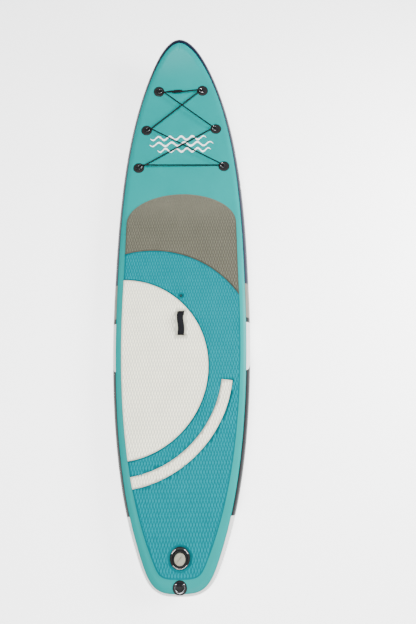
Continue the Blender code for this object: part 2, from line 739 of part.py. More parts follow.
# ---------------------------------------------------------------- carry strap
def carry_strap(webbing, rubber):
    """A webbing strap arched over the pad, its ends sewn to two patches under the foam."""
    patch_thick, arch_steps = 0.0012, 10
    foot_low = GAP + patch_thick + GAP
    top = GAP + PAD + STRAP_RISE
    route = [(STRAP_REAR + FOOT, foot_low), (STRAP_REAR, foot_low), (STRAP_REAR, top)]
    for k in range(1, arch_steps):
        t = k / arch_steps
        rise = math.sin(math.pi * t) ** 0.6
        s = STRAP_REAR + (STRAP_FRONT - STRAP_REAR) * t
        route.append((s, top + (STRAP_HEIGHT - STRAP_RISE) * rise))
    route += [(STRAP_FRONT, top), (STRAP_FRONT, foot_low), (STRAP_FRONT - FOOT, foot_low)]
    ways = [(Vector(b) - Vector(a)).normalized() for a, b in zip(route, route[1:])]
    corners, last = [], len(route) - 1
    for i, (s, z) in enumerate(route):
        before, after = ways[max(i - 1, 0)], ways[min(i, last - 1)]
        way = (before + after).normalized()
        normal = Vector((way.y, -way.x))
        mitre = STRAP / max(abs(normal.dot(Vector((after.y, -after.x)))), 0.5)
        arched = 3 <= i < last - 2
        sway = STRAP_SWAY * math.sin(2 * math.pi * (i - 2) / (last - 4)) if arched else 0.0
        for x, depth in ((-STRAP_HALF, 0), (STRAP_HALF, 0), (STRAP_HALF, mitre), (-STRAP_HALF, mitre)):
            y = s + normal.x * depth - LENGTH / 2
            corners.append((x + sway, y, DECK + z + normal.y * depth))
    faces = [(3, 2, 1, 0), tuple(4 * last + k for k in range(4))]
    for base in range(0, 4 * last, 4):
        for k in range(4):
            n = (k + 1) % 4
            faces.append((base + k, base + n, base + n + 4, base + k + 4))
    add("carry_strap", corners, faces, webbing, smooth=30.0)
    for key, at, way in (("rear", STRAP_REAR, 1), ("front", STRAP_FRONT, -1)):
        outline = box_outline(0.023, at - way * 0.003, at + way * (FOOT + 0.015))
        moved = [(x, s - LENGTH / 2) for x, s in outline]
        prism(f"strap_patch_{key}", moved, DECK + GAP, DECK + GAP + patch_thick, rubber)


# ---------------------------------------------------------------- inflation valve
def valve(black, rubber, grey, steel, clear):
    """Heights are from the deck. The stem's poppet closes the tube from below, held up by a spring
    that stands on the guide."""
    slim = Matrix.Diagonal((VALVE_FIT, VALVE_FIT, 1.0, 1.0))
    place = Matrix.Translation((0.0, VALVE_AT - LENGTH / 2, DECK)) @ slim
    under = -SKIN - GAP
    r = VALVE_RING_RADIUS
    ring = [(0.030, GAP), (r, GAP), (r, 0.0030), (r - 0.003, 0.0062), (0.050, 0.0066), (0.047, 0.0034)]
    lathe("valve_ring", [*ring, (0.030, 0.0034)], black, place, 32)
    lathe("valve_gasket", [(0.0226, GAP), (0.0295, GAP), (0.0295, 0.0031), (0.0226, 0.0031)], rubber, place)
    bore, ledge = VALVE_BORE, VALVE_BORE - 0.0012
    body = [(0.0220, -0.0420), (0.0220, 0.0037), (0.0440, 0.0037), (0.0440, 0.0062), (0.0290, 0.0070)]
    body += [(0.0290, 0.0150), (0.0255, 0.0150), (0.0240, 0.0058), (0.0190, 0.0046), (bore, -0.0020)]
    lathe("valve_body", [*body, (bore, -0.0228), (ledge, -0.0228), (ledge, -0.0420)], black, place)
    spider = [(0.0034, -0.0225), (0.0034, -0.0200), (bore - GAP, -0.0200), (bore - GAP, -0.0225)]
    guide = lathe("valve_guide", spider, black, place)
    for k in range(4):
        turn = math.radians(45 + 90 * k)
        at = place @ Matrix.Translation((0.0105 * math.cos(turn), 0.0105 * math.sin(turn), 0.0))
        cut(guide, lathe(f"cut_valve_vent_{k}", cylinder(0.0042, -0.03, -0.01), None, at, 10))
    nut = [(0.0223, under - 0.009), (0.0340, under - 0.009), (0.0360, under - 0.002), (0.0360, under)]
    lathe("valve_back_nut", [*nut, (0.0223, under)], black, place)
    stem = [(0.0, -0.0470), (0.0195, -0.0470), (0.0195, -0.0446), (0.0030, -0.0446)]
    lathe("valve_stem", [*stem, (0.0030, -0.0030), (0.0, -0.0030)], steel, place, 16)
    seal = [(0.0033, -0.0443), (0.0195, -0.0443), (0.0195, -0.0423), (0.0033, -0.0423)]
    lathe("valve_seal", seal, rubber, place, 20)
    knob = [(0.0, -0.0027), (0.0070, -0.0027), (0.0070, -0.0120), (0.0090, -0.0120), (0.0095, 0.0000)]
    lathe("valve_button", [*knob, (0.0080, 0.0035), (0.0, 0.0040)], grey, place, 20)
    turns, around, radius = 4, 9, 0.0052
    coil = []
    for k in range(turns * around + 1):
        turn = 2 * math.pi * k / around
        rise = -0.0193 + 0.0155 * k / (turns * around)
        coil.append((radius * math.cos(turn), radius * math.sin(turn), rise))
    tube("valve_spring", coil, 0.0006, steel, False, 1, place)
    cap = [(0.0300, 0.0075), (0.0340, 0.0075), (0.0345, 0.0150), (0.0320, 0.0185), (0.0, 0.0195)]
    lid = lathe("valve_cap", [*cap, (0.0, 0.0165), (0.0300, 0.0165)], clear, place, 28)
    grip = [(-0.029, -0.0035), (0.029, -0.0035), (0.029, 0.0035), (-0.029, 0.0035)]
    bar = place @ Matrix.Rotation(math.radians(50), 4, "Z")
    cut(lid, prism("cut_valve_grip", grip, 0.0175, 0.0235, None, bar), "UNION")
    washer = [(0.0258, 0.0153), (0.0287, 0.0153), (0.0287, 0.0162), (0.0258, 0.0162)]
    lathe("valve_cap_seal", washer, rubber, place)
    return lathe("cut_deck_valve", cylinder(0.0225, -0.01, 0.01), None, place)


# ---------------------------------------------------------------- fin boxes
def fin_box(name, s, skin_finish, black):
    """A moulded base pad glued to the hull, and the box that the fin slides into."""
    place = Matrix.Translation((0.0, s - LENGTH / 2, 0.0))
    inner = stadium(FIN_BOX_LENGTH + 4 * GAP, FIN_BOX_WIDTH + 4 * GAP)
    rims = ((0.0, FIN_PAD), (0.0, 0.0030), (0.0080, 0.0022), (0.0105, 0.0))
    rings = [([(x, y) for x, y in stadium(FIN_PAD_LENGTH - 2 * inset, FIN_PAD_WIDTH - 2 * inset)], z)
             for inset, z in rims]
    rings += [(inner, 0.0), (inner, FIN_PAD)]
    count = len(inner)
    points = [(x, y, z) for ring, z in rings for x, y in ring]
    faces = []
    for level in range(len(rings)):
        base, following = level * count, (level + 1) % len(rings) * count
        for k in range(count):
            n = (k + 1) % count
            faces.append((base + k, base + n, following + n, following + k))
    add(f"fin_base_{name}", points, faces, skin_finish, place)
    levels = (
        (FIN_BOX_LENGTH, FIN_BOX_WIDTH, 0.0006),
        (FIN_BOX_LENGTH, FIN_BOX_WIDTH, FIN_BOX_DEPTH),
    )
    box = add(f"fin_box_{name}", *stadium_stack(levels), black, place)
    recess = ((0.292, 0.028, -0.01), (0.292, 0.028, 0.0046))
    channel = ((0.284, 0.0105, 0.0), (0.284, 0.0105, 0.0320))
    for key, levels in (("recess", recess), ("channel", channel)):
        cut(box, add(f"cut_{key}_{name}", *stadium_stack(levels), None, place))
    levels = (
        (FIN_BOX_LENGTH + 4 * GAP, FIN_BOX_WIDTH + 4 * GAP, -0.01),
        (FIN_BOX_LENGTH + 4 * GAP, FIN_BOX_WIDTH + 4 * GAP, 0.02),
    )
    return add(f"cut_hull_{name}", *stadium_stack(levels), None, place)


def stadium_stack(levels):
    """Slot outlines at rising heights, as the points and faces of a closed body."""
    rings = [[(x, y, z) for x, y in stadium(length, width)] for length, width, z in levels]
    count = len(rings[0])
    points = [p for ring in rings for p in ring]
    faces = [tuple(reversed(range(count))), tuple(len(points) - count + k for k in range(count))]
    for level in range(len(rings) - 1):
        base = level * count
        for k in range(count):
            n = (k + 1) % count
            faces.append((base + k, base + n, base + n + count, base + k + count))
    return points, faces


# ---------------------------------------------------------------- assembly
def main():
    for old in list(bpy.data.objects):
        bpy.data.objects.remove(old, do_unlink=True)
    turquoise = material("skin_turquoise", (0.0, 0.50, 0.53), 0.35)
    navy = material("sidewall_navy", (0.010, 0.016, 0.040), 0.35)
    black_wall = material("sidewall_black", (0.006, 0.007, 0.012), 0.35)
    lining = material("liner_grey", (0.35, 0.36, 0.36), 0.6)
    yarn = material("yarn_white", (0.75, 0.75, 0.72), 0.9)
    teal = material("foam_teal", (0.0, 0.46, 0.52), 0.8)
    grey = material("foam_grey", (0.25, 0.24, 0.19), 0.8)
    cream = material("foam_cream", (0.86, 0.84, 0.73), 0.8)
    rubber = material("patch_black", (0.020, 0.020, 0.022), 0.5)
    webbing = material("webbing_black", (0.012, 0.012, 0.014), 0.85)
    elastic = material("cord_black", (0.008, 0.008, 0.010), 0.7)
    steel = material("ring_steel", (0.72, 0.72, 0.74), 0.25, 1.0)
    plastic = material("valve_black", (0.015, 0.015, 0.016), 0.4)
    knob = material("valve_grey", (0.40, 0.39, 0.35), 0.4)
    clear = material("cap_grey", (0.45, 0.43, 0.36), 0.3)
    box_black = material("fin_box_black", (0.010, 0.012, 0.014), 0.35)

    deck = chamber_skin("deck_skin", 1, turquoise)
    hull = chamber_skin("hull_skin", -1, turquoise)
    chamber_liner(lining)
    stitch_core(yarn)
    for side, sign in (("port", -1), ("starboard", 1)):
        sidewall(f"sidewall_front_{side}", sign, BAND_JOIN, LAST, navy)
        sidewall(f"sidewall_rear_{side}", sign, 0, BAND_JOIN, black_wall)
    deck_pad(teal, grey, cream)
    bungee(anchors(rubber, webbing, steel), elastic, webbing)
    leash_anchor(rubber, webbing, steel)
    carry_strap(webbing, rubber)
    cut(deck, valve(plastic, rubber, knob, steel, clear))
    for name, s in FIN_BOXES:
        cut(hull, fin_box(name, s, turquoise, box_black))
    place = Matrix.Translation((0.0, INSERT_AT - LENGTH / 2, DECK))
    r = INSERT_RADIUS
    screw = [(0.0030, GAP), (r, GAP), (r, PAD - 0.0010), (r - 0.001, PAD), (0.0030, PAD)]
    lathe("deck_insert", screw, plastic, place, 16)


main()
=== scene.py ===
import math

import bmesh
import bpy
import numpy as np
from mathutils import Matrix, Vector


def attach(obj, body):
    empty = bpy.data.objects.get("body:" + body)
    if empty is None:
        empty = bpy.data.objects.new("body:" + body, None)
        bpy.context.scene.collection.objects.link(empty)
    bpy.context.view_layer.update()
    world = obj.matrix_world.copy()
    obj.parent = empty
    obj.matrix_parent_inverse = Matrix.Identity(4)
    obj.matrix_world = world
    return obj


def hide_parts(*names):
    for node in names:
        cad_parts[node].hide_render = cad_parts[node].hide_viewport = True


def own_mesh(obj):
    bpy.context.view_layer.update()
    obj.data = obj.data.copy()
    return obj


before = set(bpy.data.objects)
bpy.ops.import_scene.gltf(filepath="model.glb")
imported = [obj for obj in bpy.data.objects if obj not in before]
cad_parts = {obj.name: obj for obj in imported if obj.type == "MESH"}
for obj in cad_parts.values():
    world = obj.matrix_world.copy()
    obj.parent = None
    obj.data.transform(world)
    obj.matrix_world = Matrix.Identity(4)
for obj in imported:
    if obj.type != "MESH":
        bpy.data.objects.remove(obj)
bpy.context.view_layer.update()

# ---------------------------------------------------------------- studio
# A pale floor under a broad overhead light, with a key light from starboard and a weak
# one from behind the tail. The camera looks down on the deck from above its middle.
camera = bpy.data.objects.new("camera", bpy.data.cameras.new("camera"))
bpy.context.scene.collection.objects.link(camera)
bpy.context.scene.camera = camera
camera.data.lens = 19.04
camera.data.clip_end = 60.0
camera.location = (0.1797, -0.6459, 2.0567)
camera.rotation_euler = (0.22955, 0.01251, -0.01509)


def add_light(name, at, aim, size, power, tint=(1.0, 1.0, 1.0)):
    lamp = bpy.data.objects.new(name, bpy.data.lights.new(name, "AREA"))
    bpy.context.scene.collection.objects.link(lamp)
    lamp.data.size = size
    lamp.data.energy = power
    lamp.data.color = tint
    lamp.location = at
    lamp.rotation_euler = (Vector(aim) - Vector(at)).to_track_quat("-Z", "Y").to_euler()


add_light("key", (3.4, 0.2, 1.9), (0.3, 0.0, 0.1), 1.6, 380)
add_light("overhead", (-0.8, -0.6, 4.5), (0.0, 0.2, 0.0), 3.0, 400)
add_light("tail", (0.4, -4.6, 2.4), (0.0, -1.0, 0.1), 2.0, 80)
world = bpy.data.worlds.new("studio")
bpy.context.scene.world = world
world.use_nodes = True
world.node_tree.nodes["Background"].inputs["Color"].default_value = (0.96, 0.98, 1.0, 1.0)
world.node_tree.nodes["Background"].inputs["Strength"].default_value = 0.55


def paint(name, roughness, metallic=0.0, gloss=0.5):
    """A new material: the material, its node tree, its shader and the piece's own coordinates."""
    made = bpy.data.materials.new(name)
    made.use_nodes = True
    tree = made.node_tree
    shader = tree.nodes["Principled BSDF"]
    shader.inputs["Roughness"].default_value = roughness
    shader.inputs["Metallic"].default_value = metallic
    shader.inputs["Specular IOR Level"].default_value = gloss
    return made, tree, shader, tree.nodes.new("ShaderNodeTexCoord").outputs["Object"]


def wire(tree, kind, sockets, **settings):
    """A node with its settings made and its inputs linked or filled in."""
    node = tree.nodes.new("ShaderNode" + kind)
    for key, value in settings.items():
        setattr(node, key, value)
    for key, value in sockets.items():
        if isinstance(value, bpy.types.NodeSocket):
            tree.links.new(value, node.inputs[key])
        else:
            node.inputs[key].default_value = value
    return node


def sums(tree, operation, a, b=0.0):
    return wire(tree, "Math", {0: a, 1: b}, operation=operation).outputs[0]


def blend(tree, share, a, b):
    """Colour a where share is 0, b where it is 1."""
    a, b = ((*c, 1.0) if isinstance(c, tuple) else c for c in (a, b))
    return wire(tree, "Mix", {0: share, 6: a, 7: b}, data_type="RGBA").outputs[2]


def noise(tree, place, scale, detail):
    return wire(tree, "TexNoise", {"Vector": place, "Scale": scale, "Detail": detail}).outputs["Fac"]


def shade(colour, share):
    return tuple(min(1.0, share * c) for c in colour)


def roughen(tree, shader, height, depth):
    """Bump from a height that runs from 0 to 1, at most this deep in metres."""
    bump = wire(tree, "Bump", {"Height": height, "Distance": depth, "Strength": 1.0})
    tree.links.new(bump.outputs[0], shader.inputs["Normal"])


def tint(tree, shader, colour):
    tree.links.new(colour, shader.inputs["Base Color"])


floor_mesh = bpy.data.meshes.new("floor")
floor_mesh.from_pydata([(-25, -25, 0), (25, -25, 0), (25, 25, 0), (-25, 25, 0)], [], [(0, 1, 2, 3)])
floor = bpy.data.objects.new("floor", floor_mesh)
bpy.context.scene.collection.objects.link(floor)
floor.location.z = -0.0005
made, tree, shader, place = paint("floor_white", 0.9)
shader.inputs["Base Color"].default_value = (0.93, 0.93, 0.93, 1.0)
shader.inputs["Emission Color"].default_value = (1.0, 1.0, 1.0, 1.0)
shader.inputs["Emission Strength"].default_value = 1.8
under = wire(tree, "BsdfTransparent", {}).outputs[0]
back = tree.nodes.new("ShaderNodeNewGeometry").outputs["Backfacing"]
both = wire(tree, "MixShader", {0: back, 1: shader.outputs[0], 2: under}).outputs[0]
tree.links.new(both, tree.nodes["Material Output"].inputs["Surface"])
floor_mesh.materials.append(made)

# ---------------------------------------------------------------- deck skin
# The deck is one sheet of coated drop-stitch cloth, kept flat by the yarns inside and turned
# down over the half-round sides. Its weave shows faintly through the turquoise coat, with a painted
# highlight on its threads.
LENGTH, THICK, REST = 3.353, 0.127, 0.0053
HALF = THICK / 2
DECK = REST + THICK
SKIN = 0.0011
SEAM = 110 / 3
BAND_EDGE = 55.0
PANEL_EDGE = (
    ((0.000, 0.065), (0.110, 0.065), (0.122, 0.069), (0.190, 0.257)),
    ((0.190, 0.257), (0.370, 0.750), (0.354, 1.535), (0.354, 1.760)),
    ((0.354, 1.760), (0.354, 3.145), (0.060, 3.288), (0.000, 3.288)),
)
NOSE_START, TAIL_START = 0.60 * LENGTH, 0.125
TURQUOISE = (0.000, 0.195, 0.185)


def rocker(s):
    """Rise and slope of the board's middle surface at a distance s from the tail."""
    nose = max(0.0, (s - NOSE_START) / (LENGTH - NOSE_START))
    tail = max(0.0, (TAIL_START - s) / TAIL_START)
    curl = (0.170 * nose + 1.360 * nose**7) / (LENGTH - NOSE_START)
    return 0.085 * nose**2 + 0.170 * nose**8 + 0.008 * tail**2, curl - 0.016 * tail / TAIL_START


def curve_at(knots, t):
    a, b, c, d = (Vector(k) for k in knots)
    r = 1 - t
    along = (b - a) * (r * r) + (c - b) * (2 * t * r) + (d - c) * (t * t)
    return a * r**3 + b * (3 * t * r * r) + c * (3 * t * t * r) + d * t**3, along


class Rib:
    """A cross-section of the chamber at one place on the edge of its flat panel."""

    def __init__(self, knots, t):
        (self.x, self.s), along = curve_at(knots, t)
        rise, slope = rocker(self.s)
        stretch = math.sqrt(1 + slope**2)
        self.middle = Vector((0.0, self.s - LENGTH / 2, REST + HALF + rise))
        self.ahead = Vector((0.0, 1.0, slope)) / stretch
        self.up = Vector((0.0, -slope, 1.0)) / stretch
        self.out = Vector((along.y * stretch, -along.x)).normalized()

    def side(self, sign, radius, angle):
        """A point of the half-round side, at an angle in degrees above its middle."""
        flat = radius * math.cos(math.radians(angle))
        x = max(self.x + flat * self.out.x, 0.0)
        lift = self.up * (radius * math.sin(math.radians(angle)))
        return self.middle + Vector((sign * x, 0.0, 0.0)) + self.ahead * (flat * self.out.y) + lift


def on_deck(x, s, height):
    """A point at a height from the deck, or below the hull where the height is under -THICK."""
    rise, slope = rocker(s)
    up = Vector((0.0, -slope, 1.0)).normalized()
    return Vector((x, s - LENGTH / 2, REST + HALF + rise)) + up * (HALF + height)


def make(name, points, faces, material, smooth=35.0):
    """A mesh object with its doubled points welded and its faces turned outwards."""
    mesh = bpy.data.meshes.new(name)
    mesh.from_pydata([tuple(p) for p in points], [], faces)
    shape = bmesh.new()
    shape.from_mesh(mesh)
    bmesh.ops.remove_doubles(shape, verts=shape.verts, dist=2e-6)
    bmesh.ops.dissolve_degenerate(shape, edges=shape.edges, dist=1e-6)
    bmesh.ops.recalc_face_normals(shape, faces=shape.faces)
    shape.to_mesh(mesh)
    shape.free()
    mesh.shade_smooth()
    mesh.set_sharp_from_angle(angle=math.radians(smooth))
    for item in material if isinstance(material, list) else [material]:
        mesh.materials.append(item)
    thing = bpy.data.objects.new(name, mesh)
    bpy.context.scene.collection.objects.link(thing)
    return thing


def slab(name, top, bottom, material, smooth=35.0):
    """A closed body between two matching grids of points."""
    rows, cols = len(top), len(top[0])
    size = rows * cols
    faces = []
    for i in range(rows - 1):
        for k in range(cols - 1):
            a, b = i * cols + k, (i + 1) * cols + k
            ring = (a, a + 1, b + 1, b)
            faces += [ring, tuple(size + v for v in reversed(ring))]
        for k in (0, cols - 1):
            a, b = i * cols + k, (i + 1) * cols + k
            faces.append((a, b, b + size, a + size))
    for i in (0, rows - 1):
        for k in range(cols - 1):
            a = i * cols + k
            faces.append((a, a + 1, a + 1 + size, a + size))
    points = [p for grid in (top, bottom) for row in grid for p in row]
    return make(name, points, faces, material, smooth)


def carve(thing, *cutters, operation="DIFFERENCE"):
    """Takes the cutters out of a piece, or keeps what is inside them, and removes them."""
    for cutter in cutters:
        step = thing.modifiers.new("cut", "BOOLEAN")
        step.operation, step.solver, step.object = operation, "EXACT", cutter
    bpy.context.view_layer.update()
    graph = bpy.context.evaluated_depsgraph_get()
    mesh = bpy.data.meshes.new_from_object(thing.evaluated_get(graph))
    thing.modifiers.clear()
    thing.data = mesh
    for cutter in cutters:
        bpy.data.objects.remove(cutter)
    return thing


def hoop(name, rings, material, smooth=35.0):
    """A body of matching closed outlines, each joined to the next and the last to the first."""
    count = len(rings[0])
    faces = []
    for r in range(len(rings)):
        a, b = r * count, (r + 1) % len(rings) * count
        faces += [(a + k, a + (k + 1) % count, b + (k + 1) % count, b + k) for k in range(count)]
    return make(name, [p for ring in rings for p in ring], faces, material, smooth)


def turned(name, profile, place, material, segments=72, smooth=35.0):
    """A closed profile of (radius, height) points, turned about the local Z axis."""
    turns = [2 * math.pi * k / segments for k in range(segments)]
    rings = [[place @ Vector((r * math.cos(turn), r * math.sin(turn), z)) for r, z in profile]
             for turn in turns]
    return hoop(name, rings, material, smooth)


def pvc(name, colour, roughness=0.36, weave=0.00010, gloss=0.10):
    """Coated cloth: a fine diagonal weave pressed through a satin coat, with a little mottling and a
    painted highlight on the weave's threads.
    """
    made, tree, shader, place = paint(name, roughness, 0.0, gloss)
    turned_place = wire(tree, "Mapping", {0: place, "Rotation": (0, 0, math.radians(45))}).outputs[0]
    threads = []
    for direction in ("X", "Y"):
        wave = wire(tree, "TexWave", {0: turned_place, "Scale": 40.0}, bands_direction=direction)
        threads.append(wave.outputs["Fac"])
    cloth = sums(tree, "MULTIPLY", *threads)
    grain = noise(tree, place, 900.0, 2.0)
    patches = noise(tree, place, 5.0, 3.0)
    height = sums(tree, "ADD", sums(tree, "MULTIPLY", grain, 0.35), cloth)
    roughen(tree, shader, height, weave)
    darker = shade(colour, 0.86)
    lighter = shade(colour, 1.10)
    body = blend(tree, patches, darker, lighter)
    # Painted highlight: the weave's thread crowns are lightened, by up to 12 %, towards a brighter copy of
    # the colour.
    share = sums(tree, "MULTIPLY", cloth, 0.12)
    painted_thread_highlight = tuple(min(1.0, 1.35 * c + 0.001) for c in colour)
    tint(tree, shader, blend(tree, share, body, painted_thread_highlight))
    return made


RIBS = [Rib(PANEL_EDGE[0], k / 14) for k in range(14)]
RIBS += [Rib(PANEL_EDGE[1], k / 34) for k in range(34)]
RIBS += [Rib(PANEL_EDGE[2], k / 52) for k in range(53)]


def chamber_skin(name, way, material):
    """Deck (way 1) or hull (way -1): the flat panel and its edges down to the side seam."""
    angles = [SEAM + 0.15, 46.0, BAND_EDGE, 63.0, 71.0, 79.0, 86.0, 90.0]
    grids = []
    for radius in (HALF, HALF - SKIN):
        grid = []
        for rib in RIBS:
            port, starboard = ([rib.side(sign, radius, way * a) for a in angles] for sign in (-1, 1))
            flat = [port[-1].lerp(starboard[-1], k / 8) for k in range(1, 8)]
            grid.append(port + flat + starboard[::-1])
        grids.append(grid)
    return slab(name, grids[0], grids[1], material)


def stadium(length, width, steps=16):
    """A slot outline along Y, with round ends."""
    radius, straight = width / 2, (length - width) / 2
    turns = [math.pi * k / steps for k in range(steps + 1)]
    front = [(radius * math.cos(t), straight + radius * math.sin(t)) for t in turns]
    return front + [(-x, -y) for x, y in front]


def stacked(start, count, levels):
    """Faces of a body of matching outlines, one on another, with both ends filled."""
    last = start + count * (levels - 1)
    faces = [tuple(range(start, start + count)), tuple(range(last, last + count))]
    for base in range(start, last, count):
        for k in range(count):
            n = (k + 1) % count
            faces.append((base + k, base + n, base + n + count, base + k + count))
    return faces


def stack(name, levels, place, material, smooth=35.0):
    """Closed outlines at their own heights, joined in order, with both ends filled."""
    points = [place @ Vector((x, y, z)) for outline, z in levels for x, y in outline]
    return make(name, points, stacked(0, len(levels[0][0]), len(levels)), material, smooth)


# The valve's sizes are those of a larger one, made narrower by VALVE_FIT.
VALVE_AT, VALVE_FIT, VALVE_HOLE = 0.193, 0.82, 0.0224
VALVE = Matrix.Translation((0.0, VALVE_AT - LENGTH / 2, DECK))
VALVE @= Matrix.Diagonal((VALVE_FIT, VALVE_FIT, 1.0, 1.0))
deck_skin = chamber_skin("deck_sheet", 1, pvc("pvc_turquoise", TURQUOISE))
hole = turned("hole", [(0.0, -0.01), (VALVE_HOLE, -0.01), (VALVE_HOLE, 0.01), (0.0, 0.01)], VALVE, None)
carve(deck_skin, hole)
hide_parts("deck_skin")
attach(deck_skin, "board")

# ---------------------------------------------------------------- printed waves on the nose
# Three plain wave lines in white ink, printed across the deck between the bungee's legs.
made, tree, shader, place = paint("ink_white", 0.45)
speckle = noise(tree, place, 260.0, 3.0)
tint(tree, shader, blend(tree, speckle, (0.80, 0.83, 0.82), (0.93, 0.95, 0.94)))
roughen(tree, shader, speckle, 0.00004)
ink = made


def brush(width, t):
    """Half the width of a printed line that runs out to a point where t is -1 or 1."""
    return width * math.sqrt(max(1 - t**4, 0.0)) + 0.0006


def ribbon(name, edges, height, material, lay=on_deck, thick=0.00025):
    """A thin printed or glued strip between two lines of (x, s) points."""
    grids = []
    for level in (height + thick, height):
        grids.append([[lay(*a, level), lay(*(0.5 * (Vector(a) + Vector(b))), level), lay(*b, level)]
                      for a, b in edges])
    return slab(name, grids[0], grids[1], material)


WAVES = ((2.690, 0.190, 0.013), (2.645, 0.215, 0.014), (2.600, 0.180, 0.013))
for row, (s, half, swell) in enumerate(WAVES):
    edges = []
    for k in range(81):
        t = k / 40 - 1
        x = half * t + 0.02 * (row - 1)
        middle = s + swell * math.sin(5 * math.pi * t)
        width = brush(0.0066, t)
        edges.append(((x, middle - width), (x, middle + width)))
    wave = ribbon(f"print_wave_{row + 1}", edges, 0.0003, ink)
    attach(wave, "board")

# ---------------------------------------------------------------- hull skin
# The hull is the same cloth. A grey panel caps the nose behind a curved line, a white sash
# crosses below it, and the coat is rubbed darker where the fin boxes are glued.
FIN_BOXES = (("tail", 0.374), ("centre", 1.3415))
BOX_LONG, BOX_WIDE, BOX_ROOM = 0.305, 0.041, 0.0006
GREY_PANEL = (0.12, 0.115, 0.095)


def past_line(tree, x, s, start, lean, bow):
    """1 ahead of a curved line across the board, 0 behind it."""
    bend = sums(tree, "MULTIPLY", x, sums(tree, "ADD", sums(tree, "MULTIPLY", x, bow), lean))
    return sums(tree, "GREATER_THAN", s, sums(tree, "ADD", bend, start))


hull_cloth = pvc("pvc_hull", TURQUOISE, 0.38, 0.00016)
tree = hull_cloth.node_tree
shader = tree.nodes["Principled BSDF"]
place = tree.nodes["Texture Coordinate"].outputs["Object"]
base = shader.inputs["Base Color"].links[0].from_socket
split = wire(tree, "SeparateXYZ", {0: place})
across, along = split.outputs[0], sums(tree, "ADD", split.outputs[1], LENGTH / 2)
sash = sums(tree, "SUBTRACT", past_line(tree, across, along, 3.001, -0.314, -0.45),
            past_line(tree, across, along, 3.105, -0.276, -0.45))
colour = blend(tree, sash, base, (0.88, 0.90, 0.89))
colour = blend(tree, past_line(tree, across, along, 3.165, -0.244, -0.513), colour, GREY_PANEL)
for _, s in FIN_BOXES:
    wide = sums(tree, "DIVIDE", sums(tree, "ABSOLUTE", across), 0.092)
    long = sums(tree, "DIVIDE", sums(tree, "ABSOLUTE", sums(tree, "SUBTRACT", along, s)), 0.212)
    corner = sums(tree, "DIVIDE", sums(tree, "ADD", wide, long), 1.62)
    far = sums(tree, "MAXIMUM", sums(tree, "MAXIMUM", wide, long), corner)
    smear = noise(tree, place, 38.0, 3.0)
    far = sums(tree, "ADD", far, sums(tree, "MULTIPLY", smear, 0.05))
    colour = blend(tree, sums(tree, "LESS_THAN", far, 1.02), colour, (0.0, 0.14, 0.145))
tint(tree, shader, colour)

hull_skin = chamber_skin("hull_sheet", -1, hull_cloth)
cutters = []
outline = stadium(BOX_LONG + 2 * BOX_ROOM, BOX_WIDE + 2 * BOX_ROOM)
for _, s in FIN_BOXES:
    cutters.append(stack("hole", [(outline, -0.01), (outline, 0.02)],
                         Matrix.Translation((0.0, s - LENGTH / 2, 0.0)), None))
carve(hull_skin, *cutters)
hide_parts("hull_skin")
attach(hull_skin, "board")


def on_hull(x, s, height):
    return on_deck(x, s, -THICK - height)


for row in range(3):
    edges = []
    for k in range(41):
        t = k / 20 - 1
        x = -0.125 - 0.045 * row + 0.010 * math.sin(3 * math.pi * t)
        s, width = 2.50 + 0.17 * t - 0.03 * row, brush(0.0070, t)
        edges.append(((x - width, s), (x + width, s)))
    wave = ribbon(f"print_hull_wave_{row + 1}", edges, 0.0003, ink, on_hull)
    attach(wave, "board")

# ---------------------------------------------------------------- sidewalls
# Coloured PVC tape is glued round the half-round sides over the seams of both skins, welded end
# to end: white tail, black, a white flash cut on the slant, a thin black bar, grey, and a navy nose.
BAND, GAP = 0.0012, 0.0003
BAND_JOIN = 0.760
RAIL = {"white": (0.50, 0.51, 0.50), "black": (0.002, 0.0025, 0.004),
        "grey": GREY_PANEL, "navy": (0.002, 0.005, 0.018)}
TAPES = (
    ("tail", "white", "rear", (0.0, 0.0), (0.391, 0.391), 26),
    ("rear", "black", "rear", (0.391, 0.391), (BAND_JOIN - GAP, BAND_JOIN - GAP), 12),
    ("waist", "black", "front", (BAND_JOIN + GAP, BAND_JOIN + GAP), (1.137, 1.270), 14),
    ("flash", "white", "front", (1.137, 1.270), (1.419, 1.419), 10),
    ("bar", "black", "front", (1.419, 1.419), (1.448, 1.448), 3),
    ("shoulder", "grey", "front", (1.448, 1.448), (1.660, 1.660), 8),
    ("nose", "navy", "front", (1.660, 1.660), (3.288, 3.288), 84),
)


def way_round(s):
    """How far round the panel's edge, in curves and parts of a curve, a distance from the tail is."""
    if s <= PANEL_EDGE[0][0][1]:
        return 0.0
    if s >= PANEL_EDGE[2][3][1]:
        return 3.0
    low, high = 0.0, 3.0
    for _ in range(40):
        middle = (low + high) / 2
        index = min(int(middle), 2)
        if curve_at(PANEL_EDGE[index], middle - index)[0].y < s:
            low = middle
        else:
            high = middle
    return low


def rib_round(way):
    index = min(int(way), 2)
    return Rib(PANEL_EDGE[index], way - index)


